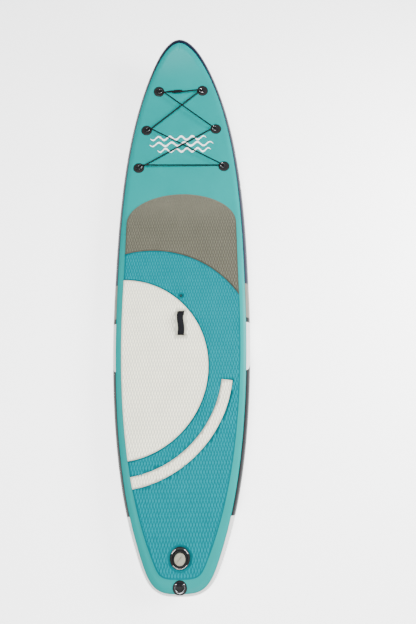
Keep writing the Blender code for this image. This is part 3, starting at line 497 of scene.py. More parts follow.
tape_cloth = {name: pvc(f"tape_{name}", colour, 0.33, 0.00005, 0.12) for name, colour in RAIL.items()}
band_angles = [-BAND_EDGE + 10 * k for k in range(12)]
for side, sign in (("port", -1), ("starboard", 1)):
    for key, hue, stretch, start, end, rows in TAPES:
        grids = []
        for radius in (HALF + GAP + BAND, HALF + GAP):
            columns = []
            for angle in band_angles:
                share = (BAND_EDGE - angle) / (2 * BAND_EDGE)
                share = share * share * (3 - 2 * share)
                a, b = (way_round(limit[0] + (limit[1] - limit[0]) * share) for limit in (start, end))
                columns.append([rib_round(a + (b - a) * k / rows).side(sign, radius, angle)
                                for k in range(rows + 1)])
            grids.append([list(row) for row in zip(*columns)])
        for grid in grids:
            for row, edge in ((grid[0], start[0] == 0.0), (grid[-1], end[0] > 3.2)):
                if edge:
                    for p in row:
                        p.x = sign * GAP / 2
        tape = slab(f"tape_{key}_{side}", grids[0], grids[1], tape_cloth[hue])
        if key in ("rear", "nose"):
            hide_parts(f"sidewall_{stretch}_{side}")
        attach(tape, "board")

    def on_rail(angle, s, height, sign=sign):
        return rib_round(way_round(s)).side(sign, HALF + GAP + BAND + height, angle)

    for k in range(4):
        tip = 2.36 + 0.075 * k
        edges = [((24.0 - 8 * j, tip - 0.030 * abs(j - 3) / 3 - 0.013),
                  (24.0 - 8 * j, tip - 0.030 * abs(j - 3) / 3 + 0.013)) for j in range(7)]
        chevron = ribbon(f"print_chevron_{side}_{k + 1}", edges, 0.0002, ink, on_rail)
        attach(chevron, "board")


def recoat(name, material):
    """Gives its own material to a piece that keeps the frame's shape."""
    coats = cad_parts[name].data.materials
    coats.clear()
    coats.append(material)


# The airtight liner and the yarns are inside the chamber, out of sight.
for name, colour in (("rail_liner", (0.34, 0.36, 0.36)), ("drop_stitch_core", (0.74, 0.74, 0.70))):
    made, tree, shader, place = paint(name, 0.7)
    fibre = noise(tree, place, 180.0, 3.0)
    tint(tree, shader, blend(tree, fibre, shade(colour, 0.8), colour))
    roughen(tree, shader, fibre, 0.0002)
    recoat(name, made)

# ---------------------------------------------------------------- deck pad
# Closed-cell foam sheet in three colours, cut to fit edge to edge and glued to the deck. Its top is
# moulded in long raised diamonds for grip, and a plain low border runs round every piece.
PAD, GROOVE, JOINT = 0.0050, 0.0016, 0.0006
PAD_EDGE = (
    ((0.000, 0.097), (0.100, 0.097), (0.106, 0.103), (0.151, 0.204)),
    ((0.151, 0.204), (0.385, 0.720), (0.351, 1.535), (0.351, 1.760)),
    ((0.351, 1.760), (0.351, 1.860), (0.351, 1.960), (0.351, 2.067)),
    ((0.351, 2.067), (0.351, 2.180), (0.194, 2.272), (0.000, 2.272)),
)
FRONT_ARC = (-0.190, 1.236, 0.644)
DISC = (-0.360, 1.170, 0.520)
STRIPE_INNER, STRIPE_OUTER, STRIPE_END = 0.600, 0.662, math.radians(-8.0)
STRAP_REAR, STRAP_FRONT, STRAP_HALF = 1.344, 1.488, 0.019
INSERT_AT, INSERT_HOLE, INSERT_CLEAR = 1.585, 0.0078, 0.0120
VALVE_RING_RADIUS, VALVE_RING_ROOM, VALVE_CLEAR = 0.063, 0.0015, 0.0560
DIAMOND_WIDE, DIAMOND_LONG, BORDER = 0.0160, 0.0460, 0.0075
DIAMOND_FILL, DIAMOND_TOP, SMALLEST_DIAMOND = 0.84, 0.80, 3.0e-5
STRAP_BAY_WIDE, STRAP_BAY_LONG = 0.034, 0.020


def foam(name, colour):
    """Foam with a skin of fine pores and a little mottling, with painted shade that darkens it down in the
    grooves and leaves it paler on the diamonds' tops.
    """
    made, tree, shader, place = paint(name, 0.90, 0.0, 0.02)
    pores = wire(tree, "TexVoronoi", {"Vector": place, "Scale": 900.0}).outputs["Distance"]
    cloud = noise(tree, place, 9.0, 4.0)
    body = blend(tree, cloud, shade(colour, 0.86), shade(colour, 1.08))
    height = wire(tree, "SeparateXYZ", {0: place}).outputs[2]
    # Painted shade: low down, in the grooves and on the plain border, the colour is darkened towards 0.4 of
    # itself; the diamonds' tops keep the full colour.
    low = wire(tree, "MapRange", {"Value": height, "From Min": DECK + 0.0034, "From Max": DECK + 0.0052,
                                  "To Min": 0.85, "To Max": 0.0}).outputs[0]
    tint(tree, shader, blend(tree, low, body, shade(colour, 0.40)))
    roughen(tree, shader, pores, 0.00012)
    return made


def joined(name, first, *others):
    """Several meshes as one piece, keeping their materials."""
    bpy.ops.object.select_all(action="DESELECT")
    for thing in (first, *others):
        thing.select_set(True)
    bpy.context.view_layer.objects.active = first
    bpy.ops.object.join()
    first.name = name
    return first


pad_half = [Vector(PAD_EDGE[0][0])]
for knots, count in zip(PAD_EDGE, (16, 30, 8, 22)):
    pad_half += [curve_at(knots, (k + 1) / count)[0] for k in range(count)]
pad_outline = pad_half + [Vector((-p.x, p.y)) for p in pad_half[-2:0:-1]]


def wedge(name, outline, low=0.0, high=0.30):
    place = Matrix.Translation((0.0, -LENGTH / 2, 0.0))
    return stack(name, [(outline, low), (outline, high)], place, None)


def arc(centre, radius, start, end, steps=72):
    turns = [start + (end - start) * k / steps for k in range(steps + 1)]
    return [(centre[0] + radius * math.cos(t), centre[1] + radius * math.sin(t)) for t in turns]


def region(key, shift):
    """Outline of one inlaid colour, grown by shift."""
    if key == "front":
        return arc(FRONT_ARC, FRONT_ARC[2] - shift, 0.35, 2.45) + [(-0.6, 2.5), (0.6, 2.5)]
    s, radius = DISC[1:]
    low, high = -math.pi / 2, math.pi / 2
    if key == "disc":
        return arc(DISC, radius + shift, low, high) + [(-0.6, s + radius), (-0.6, s - radius)]
    high = STRIPE_END + shift / STRIPE_OUTER
    ring = arc(DISC, STRIPE_OUTER + shift, low, high) + arc(DISC, STRIPE_INNER - shift, high, low)
    return ring + [(-0.6, s - STRIPE_INNER + shift), (-0.6, s - STRIPE_OUTER - shift)]


ring_start = np.array(pad_outline)
ring_way = np.roll(ring_start, -1, axis=0) - ring_start


def edge_gap(point):
    """How far inside the pad's outline a point is, and the way inwards."""
    offset = point - ring_start
    share = np.clip((offset * ring_way).sum(1) / (ring_way**2).sum(1), 0.0, 1.0)
    apart = offset - ring_way * share[:, None]
    size = np.hypot(apart[:, 0], apart[:, 1])
    best = int(size.argmin())
    normal = np.array((-ring_way[best, 1], ring_way[best, 0])) / np.hypot(*ring_way[best])
    return float(apart[best] @ normal), normal


def gaps(key, point):
    """(distance inside, way inwards) for each line that bounds one colour of foam near a point."""
    found = [edge_gap(point)]
    for centre, radius, inside in LINES[key]:
        if centre == arc_centre and point[1] < centre[1]:
            continue  # the grey front's arc bounds only what lies ahead of its centre
        offset = point - np.array(centre)
        size = float(np.hypot(*offset)) + 1e-9
        way = offset / size
        found.append((radius - size, -way) if inside else (size - radius, way))
    return found


disc_centre, arc_centre = DISC[:2], FRONT_ARC[:2]
LINES = {
    "front": [(arc_centre, FRONT_ARC[2], False)],
    "disc": [(disc_centre, DISC[2], True)],
    "stripe": [(disc_centre, STRIPE_OUTER, True), (disc_centre, STRIPE_INNER, False)],
    "main": [(arc_centre, FRONT_ARC[2], True), (disc_centre, DISC[2], False),
             ((0.0, VALVE_AT), VALVE_CLEAR, False), ((0.0, INSERT_AT), INSERT_CLEAR, False)],
}


def clipped(polygon, point, way):
    """The part of a convex polygon on the inner side of a line."""
    kept = []
    for a, b in zip(polygon, polygon[1:] + polygon[:1]):
        da, db = (a - point) @ way, (b - point) @ way
        if da >= 0:
            kept.append(a)
        if da * db < 0:
            kept.append(a + (b - a) * (da / (da - db)))
    return kept


def in_stripe(point, spare):
    offset = point - np.array(disc_centre)
    turn = math.atan2(offset[1], offset[0])
    size = float(np.hypot(*offset))
    return turn < STRIPE_END + spare / size and STRIPE_INNER - spare < size < STRIPE_OUTER + spare


def diamonds(key):
    """The raised diamonds of one colour, each a low body with sloping sides, sunk into the sheet."""
    points, faces = [], []
    half_wide, half_long = DIAMOND_WIDE / 2, DIAMOND_LONG / 2
    for j in range(int(2.3 / half_long)):
        for i in range(-23, 24):
            centre = np.array(((i + 0.5 * (j % 2)) * DIAMOND_WIDE, j * half_long))
            near = gaps(key, centre)
            if min(gap for gap, _ in near) < BORDER - 0.015:
                continue
            ahead = STRAP_REAR - STRAP_BAY_LONG < centre[1] < STRAP_FRONT + STRAP_BAY_LONG
            if ahead and abs(centre[0]) < STRAP_BAY_WIDE:
                continue
            if key == "front" and centre[1] < FRONT_ARC[1]:
                continue
            if key == "main" and in_stripe(centre, BORDER):
                continue
            if key == "stripe" and not in_stripe(centre, -0.004):
                continue
            shape = [centre + DIAMOND_FILL * np.array(v) for v in
                     ((half_wide, 0.0), (0.0, half_long), (-half_wide, 0.0), (0.0, -half_long))]
            for gap, way in near:
                shape = clipped(shape, centre + way * (BORDER - gap), way) if shape else shape
            if len(shape) < 3:
                continue
            middle = sum(shape) / len(shape)
            sides = zip(shape, shape[1:] + shape[:1])
            if abs(sum(float(a[0] * b[1] - a[1] * b[0]) for a, b in sides)) < 2 * SMALLEST_DIAMOND:
                continue
            faces += stacked(len(points), len(shape), 3)
            for size, level in ((1.0, -0.0002), (1.0, 0.0004), (DIAMOND_TOP, GROOVE)):
                for p in shape:
                    x, s = middle + (p - middle) * size
                    points.append(on_deck(float(x), float(s), GAP + PAD - GROOVE + level))
    return points, faces


def circle(s, radius, spokes):
    """A round outline on the board's middle line."""
    return arc((0.0, s), radius, 0.0, 2 * math.pi * (spokes - 1) / spokes, spokes - 1)


CREAM = ("foam_cream", (0.880, 0.860, 0.700))
foam_colours = {"main": ("foam_teal", (0.000, 0.170, 0.200)),
                "front": ("foam_grey", (0.100, 0.097, 0.073)), "disc": CREAM, "stripe": CREAM}
for key, (slot, colour) in foam_colours.items():
    grids = []
    for level in (GAP + PAD - GROOVE, GAP):
        grid = []
        for p in pad_half:
            grid.append([on_deck(p.x * (k / 4 - 1), p.y, level) for k in range(9)])
        grids.append(grid)
    sheet = slab(f"foam_{key}", grids[0], grids[1], foam(f"{slot}_{key}", colour))
    if key == "main":
        holes = [region(other, JOINT / 2) for other in ("front", "disc", "stripe")]
        holes.append(circle(VALVE_AT, VALVE_RING_RADIUS * VALVE_FIT + VALVE_RING_ROOM, 72))
        holes.append(circle(INSERT_AT, INSERT_HOLE, 24))
        carve(sheet, *(wedge("hole", outline) for outline in holes))
    else:
        carve(sheet, wedge("keep", region(key, -JOINT / 2)), operation="INTERSECT")
    if key == "disc":
        for at, way in ((STRAP_REAR, 1), (STRAP_FRONT, -1)):
            low, high = sorted((at - way * 0.0008, at + way * 0.0030))
            wide = STRAP_HALF + 0.0006
            carve(sheet, wedge("hole", [(-wide, low), (wide, low), (wide, high), (-wide, high)]))
    points, faces = diamonds(key)
    bumps = make(f"bumps_{key}", points, faces, sheet.data.materials[0], 20.0)
    sheet = joined(f"foam_{key}", sheet, bumps)
    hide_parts(f"pad_{key}")
    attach(sheet, "board")

# ---------------------------------------------------------------- bungee anchors
# Each anchor is a moulded round patch glued to the deck, a loop of stitched webbing, and a
# welded steel D ring that can swing a little against the webbing.
PATCH_RADIUS, PATCH = 0.0365, 0.0020
RING_WIRE, RING_HALF, RING_REACH = 0.0020, 0.0130, 0.0260
CORD, RING_SPACE = 0.0040, 0.0030
WEB, WEB_HALF, WIRE_ROOM = 0.0014, 0.0085, 0.0004
ANCHORS = (("front", 0.149, 3.037), ("middle", 0.235, 2.7525), ("rear", 0.283, 2.4725))


def rubber(name, colour, roughness, depth=0.00010, gloss=0.15):
    """Moulded rubber or plastic: fine stipple, slight wear, and a few darker clouds."""
    made, tree, shader, place = paint(name, roughness, 0.0, gloss)
    stipple = noise(tree, place, 850.0, 4.0)
    cloud = noise(tree, place, 60.0, 2.0)
    roughen(tree, shader, stipple, depth)
    tint(tree, shader, blend(tree, cloud, shade(colour, 0.7), shade(colour, 1.25)))
    return made


def crossed(tree, place, turn, scale, bands):
    """Two sets of ribs that lean this far to either side and cross."""
    ribs = []
    for lean in (turn, -turn):
        way = wire(tree, "Mapping", {0: place, "Rotation": (0, 0, math.radians(lean))}).outputs[0]
        ribs.append(wire(tree, "TexWave", {0: way, "Scale": scale}, bands_direction=bands).outputs["Fac"])
    return sums(tree, "MAXIMUM", *ribs)


def woven(name, colour, roughness=0.78, pitch=130.0):
    """Nylon webbing: a herringbone of fine ribs, with a painted sheen that makes the ribs' crowns lighter
    and the hollows between them darker.
    """
    made, tree, shader, place = paint(name, roughness, 0.0, 0.08)
    cross = crossed(tree, place, 40, pitch, "X")
    roughen(tree, shader, cross, 0.00018)
    # Painted highlight and shade: the colour runs from 0.55 of itself between the ribs to 1.9 times it on
    # their crowns.
    tint(tree, shader, blend(tree, cross, shade(colour, 0.55), shade(colour, 1.9)))
    return made


def polished(name, colour, roughness=0.20):
    """Drawn steel wire, with fine drawing lines in its polish."""
    made, tree, shader, place = paint(name, roughness, 1.0)
    lines = noise(tree, place, 700.0, 3.0)
    tint(tree, shader, blend(tree, lines, shade(colour, 0.82), colour))
    roughen(tree, shader, lines, 0.00003)
    return made


patch_black = rubber("patch_black", (0.009, 0.0095, 0.010), 0.48)
web_black = woven("web_black", (0.005, 0.005, 0.006))
thread_black = woven("thread_black", (0.02, 0.02, 0.021), 0.6, 400.0)
ring_steel = polished("ring_steel", (0.30, 0.30, 0.31))


def seat(x, s, height, heading):
    """World matrix of a place on the deck: local X along the heading, Z off the deck."""
    slope = rocker(s)[1]
    across, ahead = Vector((1.0, 0.0, 0.0)), Vector((0.0, 1.0, slope)).normalized()
    u = across * math.cos(heading) + ahead * math.sin(heading)
    v = ahead * math.cos(heading) - across * math.sin(heading)
    place = Matrix((u, v, across.cross(ahead))).transposed().to_4x4()
    place.translation = on_deck(x, s, height)
    return place


def laid(x, s, heading):
    """Lays local (u, v, height above the deck) points on the curved deck round a place."""
    def put(u, v, height):
        along = u * math.sin(heading) + v * math.cos(heading)
        across = u * math.cos(heading) - v * math.sin(heading)
        return on_deck(x + across, s + along / math.sqrt(1 + rocker(s)[1] ** 2), height)
    return put


def disc(name, levels, put, material, spokes=72):
    """A moulded disc from (radius, height) levels, laid point by point."""
    points = [put(r * math.cos(2 * math.pi * k / spokes), r * math.sin(2 * math.pi * k / spokes), z)
              for r, z in levels for k in range(spokes)]
    return make(name, points, stacked(0, spokes, len(levels)), material)


def tube(name, route, radius, material, closed=False, detail=5):
    """A round bar along a list of points, as a mesh."""
    line = bpy.data.curves.new(name, "CURVE")
    line.dimensions = "3D"
    line.bevel_depth = radius
    line.bevel_resolution = detail
    line.use_fill_caps = not closed
    spline = line.splines.new("POLY")
    spline.points.add(len(route) - 1)
    for point, at in zip(spline.points, route):
        point.co = (*at, 1.0)
    spline.use_cyclic_u = closed
    thing = bpy.data.objects.new(name, line)
    bpy.context.scene.collection.objects.link(thing)
    graph = bpy.context.evaluated_depsgraph_get()
    mesh = bpy.data.meshes.new_from_object(thing.evaluated_get(graph))
    bpy.data.objects.remove(thing)
    mesh.shade_smooth()
    mesh.set_sharp_from_angle(angle=math.radians(60))
    mesh.materials.append(material)
    made = bpy.data.objects.new(name, mesh)
    bpy.context.scene.collection.objects.link(made)
    return made


def d_ring(half, reach, wire_radius):
    """A D ring's centre line: the bar lies on local Y, the bow reaches along +X."""
    bend = 1.6 * wire_radius
    route = [Vector((0.0, -half + bend + (2 * half - 2 * bend) * k / 8, 0.0)) for k in range(9)]
    route += [Vector((bend - bend * math.cos(t), half - bend + bend * math.sin(t), 0.0))
              for t in (math.radians(22.5 * k) for k in range(1, 5))]
    bow = [Vector((reach - half + half * math.sin(t), half * math.cos(t), 0.0))
           for t in (math.pi * k / 36 for k in range(37))]
    route += bow
    route += [Vector((bend - bend * math.sin(t), -half + bend - bend * math.cos(t), 0.0))
              for t in (math.radians(22.5 * k) for k in range(4))]
    return route


def web_loop(name, put, bar, wire_radius, half, tail, nose, material):
    """A strip of webbing over a ring's bar, glued down on both sides, with rounded edges."""
    low = GAP + PATCH + GAP
    inner = wire_radius + WIRE_ROOM
    turns = [math.pi * k / 16 for k in range(17)]
    outer = [(bar[0] + (inner + WEB) * math.cos(t), bar[1] + (inner + WEB) * math.sin(t)) for t in turns]
    under = [(bar[0] + inner * math.cos(t), bar[1] + inner * math.sin(t)) for t in turns]
    front = [(nose, low + 0.7 * WEB), (nose - 0.0004, low + WEB), (outer[0][0] + 0.0008, low + WEB)]
    back = [(outer[-1][0] - 0.0008, low + WEB), (tail + 0.0004, low + WEB), (tail, low + 0.7 * WEB)]
    top = front + outer + back
    bottom = [(nose, low), (nose - 0.0004, low), (under[0][0] + 0.0006, low)] + under
    bottom += [(under[-1][0] - 0.0006, low), (tail + 0.0004, low), (tail, low)]
    sides = [-half, -half + 0.0008, -0.5 * half, 0.0, 0.5 * half, half - 0.0008, half]
    grids = [[[put(u, v, z - (0.25 * WEB if k in (0, 6) and grid is top else 0.0))
               for k, v in enumerate(sides)] for u, z in grid] for grid in (top, bottom)]
    return slab(name, grids[0], grids[1], material, 50.0)


def stitches(name, put, runs, height):
    """Rows of raised thread stitches along (u, v) runs, standing a little proud of the webbing."""
    points, faces = [], []
    for (ua, va), (ub, vb), count in runs:
        for k in range(count):
            a, b = (k + 0.14) / count, (k + 0.86) / count
            start = (ua + (ub - ua) * a, va + (vb - va) * a)
            end = (ua + (ub - ua) * b, va + (vb - va) * b)
            size = math.hypot(end[0] - start[0], end[1] - start[1])
            side = ((end[1] - start[1]) / size * 0.0003, -(end[0] - start[0]) / size * 0.0003)
            faces += stacked(len(points), 4, 2)
            for lift, grow in ((-0.0002, 1.0), (0.00035, 0.45)):
                for at, sign in ((start, grow), (end, grow), (end, -grow), (start, -grow)):
                    points.append(put(at[0] + sign * side[0], at[1] + sign * side[1], height + lift))
    return make(name, points, faces, thread_black, 30.0)


forward = math.atan2(ANCHORS[0][2] - ANCHORS[1][2], ANCHORS[0][1] + ANCHORS[1][1])
aft = math.atan2(ANCHORS[1][2] - ANCHORS[2][2], ANCHORS[1][1] + ANCHORS[2][1])
headings = {"front": -forward / 2, "middle": (forward - aft) / 2, "rear": aft / 2}
bar_height = GAP + PATCH + WIRE_ROOM + RING_WIRE
bow_height = GAP + PATCH + GAP + 2 * CORD + RING_SPACE + RING_WIRE
tilt = math.asin((bow_height - bar_height) / RING_REACH)
ring_frames = {}
disc_levels = [(PATCH_RADIUS, GAP), (PATCH_RADIUS, 0.0010), (PATCH_RADIUS - 0.0008, 0.0014),
               (PATCH_RADIUS - 0.0042, 0.0016), (PATCH_RADIUS - 0.0052, 0.0022),
               (PATCH_RADIUS - 0.0062, GAP + PATCH), (0.019, GAP + PATCH)]
# Across the tail, the middle and the nose end of the loop, with a cross between the first two.
SEW = 0.0068
box_stitch = [((a, -SEW), (b, SEW), 6)
              for a, b in ((-0.0155, -0.0155), (-0.0050, -0.0050), (-0.0150, -0.0055))]
box_stitch += [((-0.0150, SEW), (-0.0055, -SEW), 6), ((0.0070, -SEW), (0.0070, SEW), 6)]
for key, half, s in ANCHORS:
    for side, sign in (("port", -1), ("starboard", 1)):
        label = f"{key}_{side}"
        heading = headings[key] if sign < 0 else math.pi - headings[key]
        put = laid(sign * half, s, heading)
        base = disc(f"patch_{label}", disc_levels, put, patch_black)
        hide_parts(f"anchor_patch_{label}")
        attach(base, "board")
        loop = web_loop(f"web_{label}", put, (0.0, bar_height), RING_WIRE, WEB_HALF, -0.017, 0.0085,
                        web_black)
        sewn = stitches("sewn", put, box_stitch, GAP + PATCH + GAP + WEB)
        loop = joined(f"web_{label}", loop, sewn)
        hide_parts(f"anchor_web_{label}")
        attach(loop, "board")
        place = seat(sign * half, s, bar_height, heading) @ Matrix.Rotation(-tilt, 4, "Y")
        ring_frames[key, sign] = place
        route = [place @ p for p in d_ring(RING_HALF, RING_REACH, RING_WIRE)]
        ring = tube(f"d_ring_{label}", route, RING_WIRE, ring_steel, True)
        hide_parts(f"anchor_ring_{label}")
        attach(ring, f"ring_{label}")

# ---------------------------------------------------------------- bungee cord
# One braided elastic cord crosses the nose three times through the rings. Its two ends lie side
# by side ahead of the first crossing, under a tight wrapping of flat tape.
made, tree, shader, place = paint("braid_black", 0.62, 0.0, 0.08)
braid = crossed(tree, place, 52, 230.0, "Y")
roughen(tree, shader, braid, 0.0003)
# Painted highlight and shade: the cord's colour is lighter on the crowns of the braid's strands and darker
# between them.
tint(tree, shader, blend(tree, braid, (0.002, 0.002, 0.002), (0.009, 0.009, 0.010)))
cord_braid = made


LAP_HALF = 0.036
ALONG_LAP = (0.0, 0.25, 0.5, 0.75, 1.0)
INTO_LAP = ((0.25, 0.10), (0.5, 0.4), (0.75, 0.85))


def turn_round(frame_at, rising):
    """The cord's way round a ring's bow, from above it to below it, or the other way."""
    bend = RING_WIRE + RING_SPACE + CORD
    level = frame_at @ Matrix.Translation((RING_REACH, 0.0, 0.0))
    level = level @ Matrix.Rotation(math.asin(frame_at.col[0][2]), 4, "Y")
    turns = [math.radians(90 + 180 * k / 18) for k in range(19)]
    way = [level @ Vector((bend * math.cos(t), 0.0, bend * math.sin(t))) for t in turns]
    return way[::-1] if rising else way


order = (("front", -1, True), ("middle", 1, False), ("rear", -1, True),
         ("rear", 1, True), ("middle", -1, False), ("front", 1, True))
bows = [turn_round(ring_frames[key, sign], rising) for key, sign, rising in order]
start, end = bows[0][0], bows[-1][-1]
aside = Vector((0.0, CORD + GAP, 0.0))
heart = start.lerp(end, 0.40)
way = (end - start).normalized()
first, last = heart + way * LAP_HALF, heart - way * LAP_HALF
route = [first.lerp(last, share) + aside for share in ALONG_LAP]
route += [start.lerp(last, share) + aside * ease for share, ease in INTO_LAP[::-1]]
for bow, following in zip(bows, bows[1:] + [None]):
    route += bow
    if following is not None:
        route += [bow[-1].lerp(following[0], share) for share in (0.03, 0.2, 0.35, 0.5, 0.65, 0.8, 0.97)]
route += [end.lerp(first, share) - aside * ease for share, ease in INTO_LAP]
route += [first.lerp(last, share) - aside for share in ALONG_LAP]
elastic = tube("elastic_cord", route, CORD, cord_braid)
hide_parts("bungee_cord")
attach(elastic, "board")

# The wrapping: sixteen close turns of tape round both ends of the cord.
WRAP_HALF, WRAP_TURNS, TURN_STEPS = 0.022, 16, 6
across = way.cross(Vector((0.0, 0.0, 1.0))).normalized()
lashing_place = Matrix((across, -way.cross(across), way)).transposed().to_4x4()
lashing_place.translation = heart


def oval(radius, spread, steps=10):
    """A slot outline along X round two cords that lie spread apart."""
    found = []
    for sign in (1, -1):
        for k in range(steps + 1):
            turn = math.pi * k / steps - math.pi / 2 + (0 if sign > 0 else math.pi)
            found.append((sign * spread / 2 + radius * math.cos(turn), radius * math.sin(turn)))
    return found


tops, bottoms = [], []
for k in range(WRAP_TURNS * TURN_STEPS + 1):
    z = WRAP_HALF * (2 * k / (WRAP_TURNS * TURN_STEPS) - 1)
    swell = 0.0013 + 0.0006 * abs(math.sin(math.pi * k / TURN_STEPS))
    for grid, radius in ((tops, CORD + swell), (bottoms, CORD + 0.0004)):
        ring = [lashing_place @ Vector((x, y, z)) for x, y in oval(radius, 2 * (CORD + GAP))]
        grid.append(ring + ring[:1])
wrap = slab("tape_wrapping", tops, bottoms, web_black, 60.0)
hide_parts("bungee_lashing")
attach(wrap, "board")

# ---------------------------------------------------------------- leash anchor
# A larger round patch is wrapped over the edge of the tail. Its webbing holds one steel D ring,
# which the ankle leash ties to; the ring turns over from the tail onto the deck.
LEASH_RADIUS, LEASH_SHIFT, LEASH_LAP = 0.0365, 0.0075, 0.027
LEASH_BAR, LEASH_WIRE, LEASH_HALF, LEASH_REACH = 0.078, 0.0025, 0.0235, 0.0380
LEASH_WEB_HALF = 0.0165
tail_rib = Rib(PANEL_EDGE[0], 0.0)


def round_tail(u, v, height):
    """Lays (u, v, height) points on the deck at the tail and down its rounded edge. +u is aft."""
    if u <= 0:
        return on_deck(v, tail_rib.s - u, height)
    climb = min(max((u - LEASH_LAP) / 0.007, 0.0), 1.0)
    radius = HALF + height + climb * (BAND + GAP)
    turn = u / HALF
    aft, up = radius * math.sin(turn), radius * math.cos(turn)
    return tail_rib.middle - tail_rib.ahead * aft + tail_rib.up * up + Vector((v, 0.0, 0.0))


def leash_put(u, v, height):
    return round_tail(u + LEASH_SHIFT, v, height)


grids = []
for level, inset in ((GAP + PATCH, 0.0010), (GAP, 0.0)):
    grid = []
    for i in range(61):
        turn = math.pi * i / 60
        radius = LEASH_RADIUS - inset
        u, half = -radius * math.cos(turn), max(radius * math.sin(turn), 0.0012)
        grid.append([leash_put(u, half * (2 * k / 24 - 1), level) for k in range(25)])
    grids.append(grid)
patch = slab("leash_disc", grids[0], grids[1], patch_black)
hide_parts("leash_patch")
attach(patch, "board")
back = tail_rib.s - LEASH_BAR
leash_bar = (back, GAP + PATCH + WIRE_ROOM + LEASH_WIRE)
loop = web_loop("leash_strap", round_tail, leash_bar, LEASH_WIRE, LEASH_WEB_HALF,
                back - 0.011, back + 0.0125, web_black)
edge = LEASH_WEB_HALF - 0.002
rows = [((back + u, -edge), (back + u, edge), 14) for u in (-0.0098, -0.0060, 0.0113, 0.0070)]
loop = joined("leash_strap", loop, stitches("sewn", round_tail, rows, GAP + PATCH + GAP + WEB))
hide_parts("leash_web")
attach(loop, "board")
place = seat(0.0, LEASH_BAR, leash_bar[1], -math.pi / 2)
route = [place @ p for p in d_ring(LEASH_HALF, LEASH_REACH, LEASH_WIRE)]
ring = tube("leash_d_ring", route, LEASH_WIRE, ring_steel, True)
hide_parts("leash_ring")
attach(ring, "leash_ring")

# ---------------------------------------------------------------- carry strap
# A webbing handle arches over the balance point. Both ends go down through slots in the foam and
# are sewn to patches glued to the deck; it bows a little to one side and the other.
STRAP, STRAP_HEIGHT, STRAP_RISE, STRAP_SWAY, FOOT = 0.0022, 0.024, 0.003, 0.0035, 0.026
foot_low = GAP + 0.0012 + GAP
strap_top = GAP + PAD + STRAP_RISE
route = [(STRAP_REAR + FOOT * share, foot_low) for share in (1.0, 0.66, 0.33)]
route += [(STRAP_REAR, foot_low), (STRAP_REAR, 0.5 * (foot_low + strap_top)), (STRAP_REAR, strap_top)]
ARCH = 48
for k in range(1, ARCH):
    t = k / ARCH
    rise = math.sin(math.pi * t) ** 0.6 + 0.012 * math.sin(8 * math.pi * t)
    route.append((STRAP_REAR + (STRAP_FRONT - STRAP_REAR) * t,
                  strap_top + (STRAP_HEIGHT - STRAP_RISE) * rise))
route += [(STRAP_FRONT, strap_top), (STRAP_FRONT, 0.5 * (foot_low + strap_top)), (STRAP_FRONT, foot_low)]
route += [(STRAP_FRONT - FOOT * share, foot_low) for share in (0.33, 0.66, 1.0)]
ways = [(Vector(b) - Vector(a)).normalized() for a, b in zip(route, route[1:])]
end_at = len(route) - 1
tops, bottoms = [], []
for i, (s, z) in enumerate(route):
    before, after = ways[max(i - 1, 0)], ways[min(i, end_at - 1)]
    mean = (before + after).normalized()
    normal = Vector((mean.y, -mean.x))
    mitre = STRAP / max(abs(normal.dot(Vector((after.y, -after.x)))), 0.5)
    share = min(max((i - 5) / (end_at - 10), 0.0), 1.0)
    sway = STRAP_SWAY * math.sin(2 * math.pi * share)
    for grid, depths in ((tops, (0.0006, 0.0, 0.0, 0.0, 0.0006)), (bottoms, (mitre,) * 5)):
        row = []
        for x, depth in zip((-1.0, -0.95, 0.0, 0.95, 1.0), depths):
            row.append(Vector((x * STRAP_HALF + sway, s + normal.x * depth - LENGTH / 2,
                               DECK + z + normal.y * depth)))
        grid.append(row)
strap = slab("webbing_handle", tops, bottoms, woven("strap_black", (0.004, 0.004, 0.005), 0.8, 95.0), 40.0)
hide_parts("carry_strap")
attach(strap, "board")
for key in ("rear", "front"):
    recoat(f"strap_patch_{key}", patch_black)

# ---------------------------------------------------------------- inflation valve
# A moulded ring is glued round the hole. The valve body screws down through it into a nut inside
# the chamber, a spring holds the stem shut, and a sealed cap with a grip bar covers the button.
under = -SKIN - GAP
valve_black = rubber("valve_black", (0.006, 0.0065, 0.007), 0.42)
seal_black = rubber("seal_black", (0.005, 0.005, 0.005), 0.7, 0.00005)
cap_plastic = rubber("cap_plastic", (0.230, 0.222, 0.165), 0.34, 0.00005, 0.4)
knob_grey = rubber("knob_grey", (0.25, 0.245, 0.22), 0.40)
spring_steel = polished("spring_steel", (0.62, 0.62, 0.64), 0.3)

collar = [(0.030, GAP), (VALVE_RING_RADIUS, GAP), (VALVE_RING_RADIUS, 0.0026), (0.0625, 0.0034),
          (0.0608, 0.0056), (0.0600, 0.0061), (0.0585, 0.0063), (0.0520, 0.0066), (0.0505, 0.0065),
          (0.0495, 0.0058), (0.0475, 0.0040), (0.0460, 0.0034), (0.030, 0.0034)]
base = turned("valve_base", collar, VALVE, valve_black, 128)
marks_points, marks_faces = [], []


def raised(radius_in, radius_out, start, end, low, high, steps):
    """A raised mark between two radii and two angles, on the valve's ring."""
    first_index = len(marks_points)
    for level in (low, high):
        for k in range(steps + 1):
            turn = math.radians(start + (end - start) * k / steps)
            for radius in (radius_in, radius_out):
                spot = Vector((radius * math.cos(turn), radius * math.sin(turn), level))
                marks_points.append(VALVE @ spot)
    size = 2 * (steps + 1)
    for k in range(steps):
        a = first_index + 2 * k
        marks_faces.append((a, a + 1, a + 3, a + 2))
        marks_faces.append((a + size, a + size + 2, a + size + 3, a + size + 1))
        marks_faces.append((a, a + 2, a + 2 + size, a + size))
        marks_faces.append((a + 1, a + 1 + size, a + 3 + size, a + 3))
    for a in (first_index, first_index + 2 * steps):
        marks_faces.append((a, a + size, a + size + 1, a + 1))


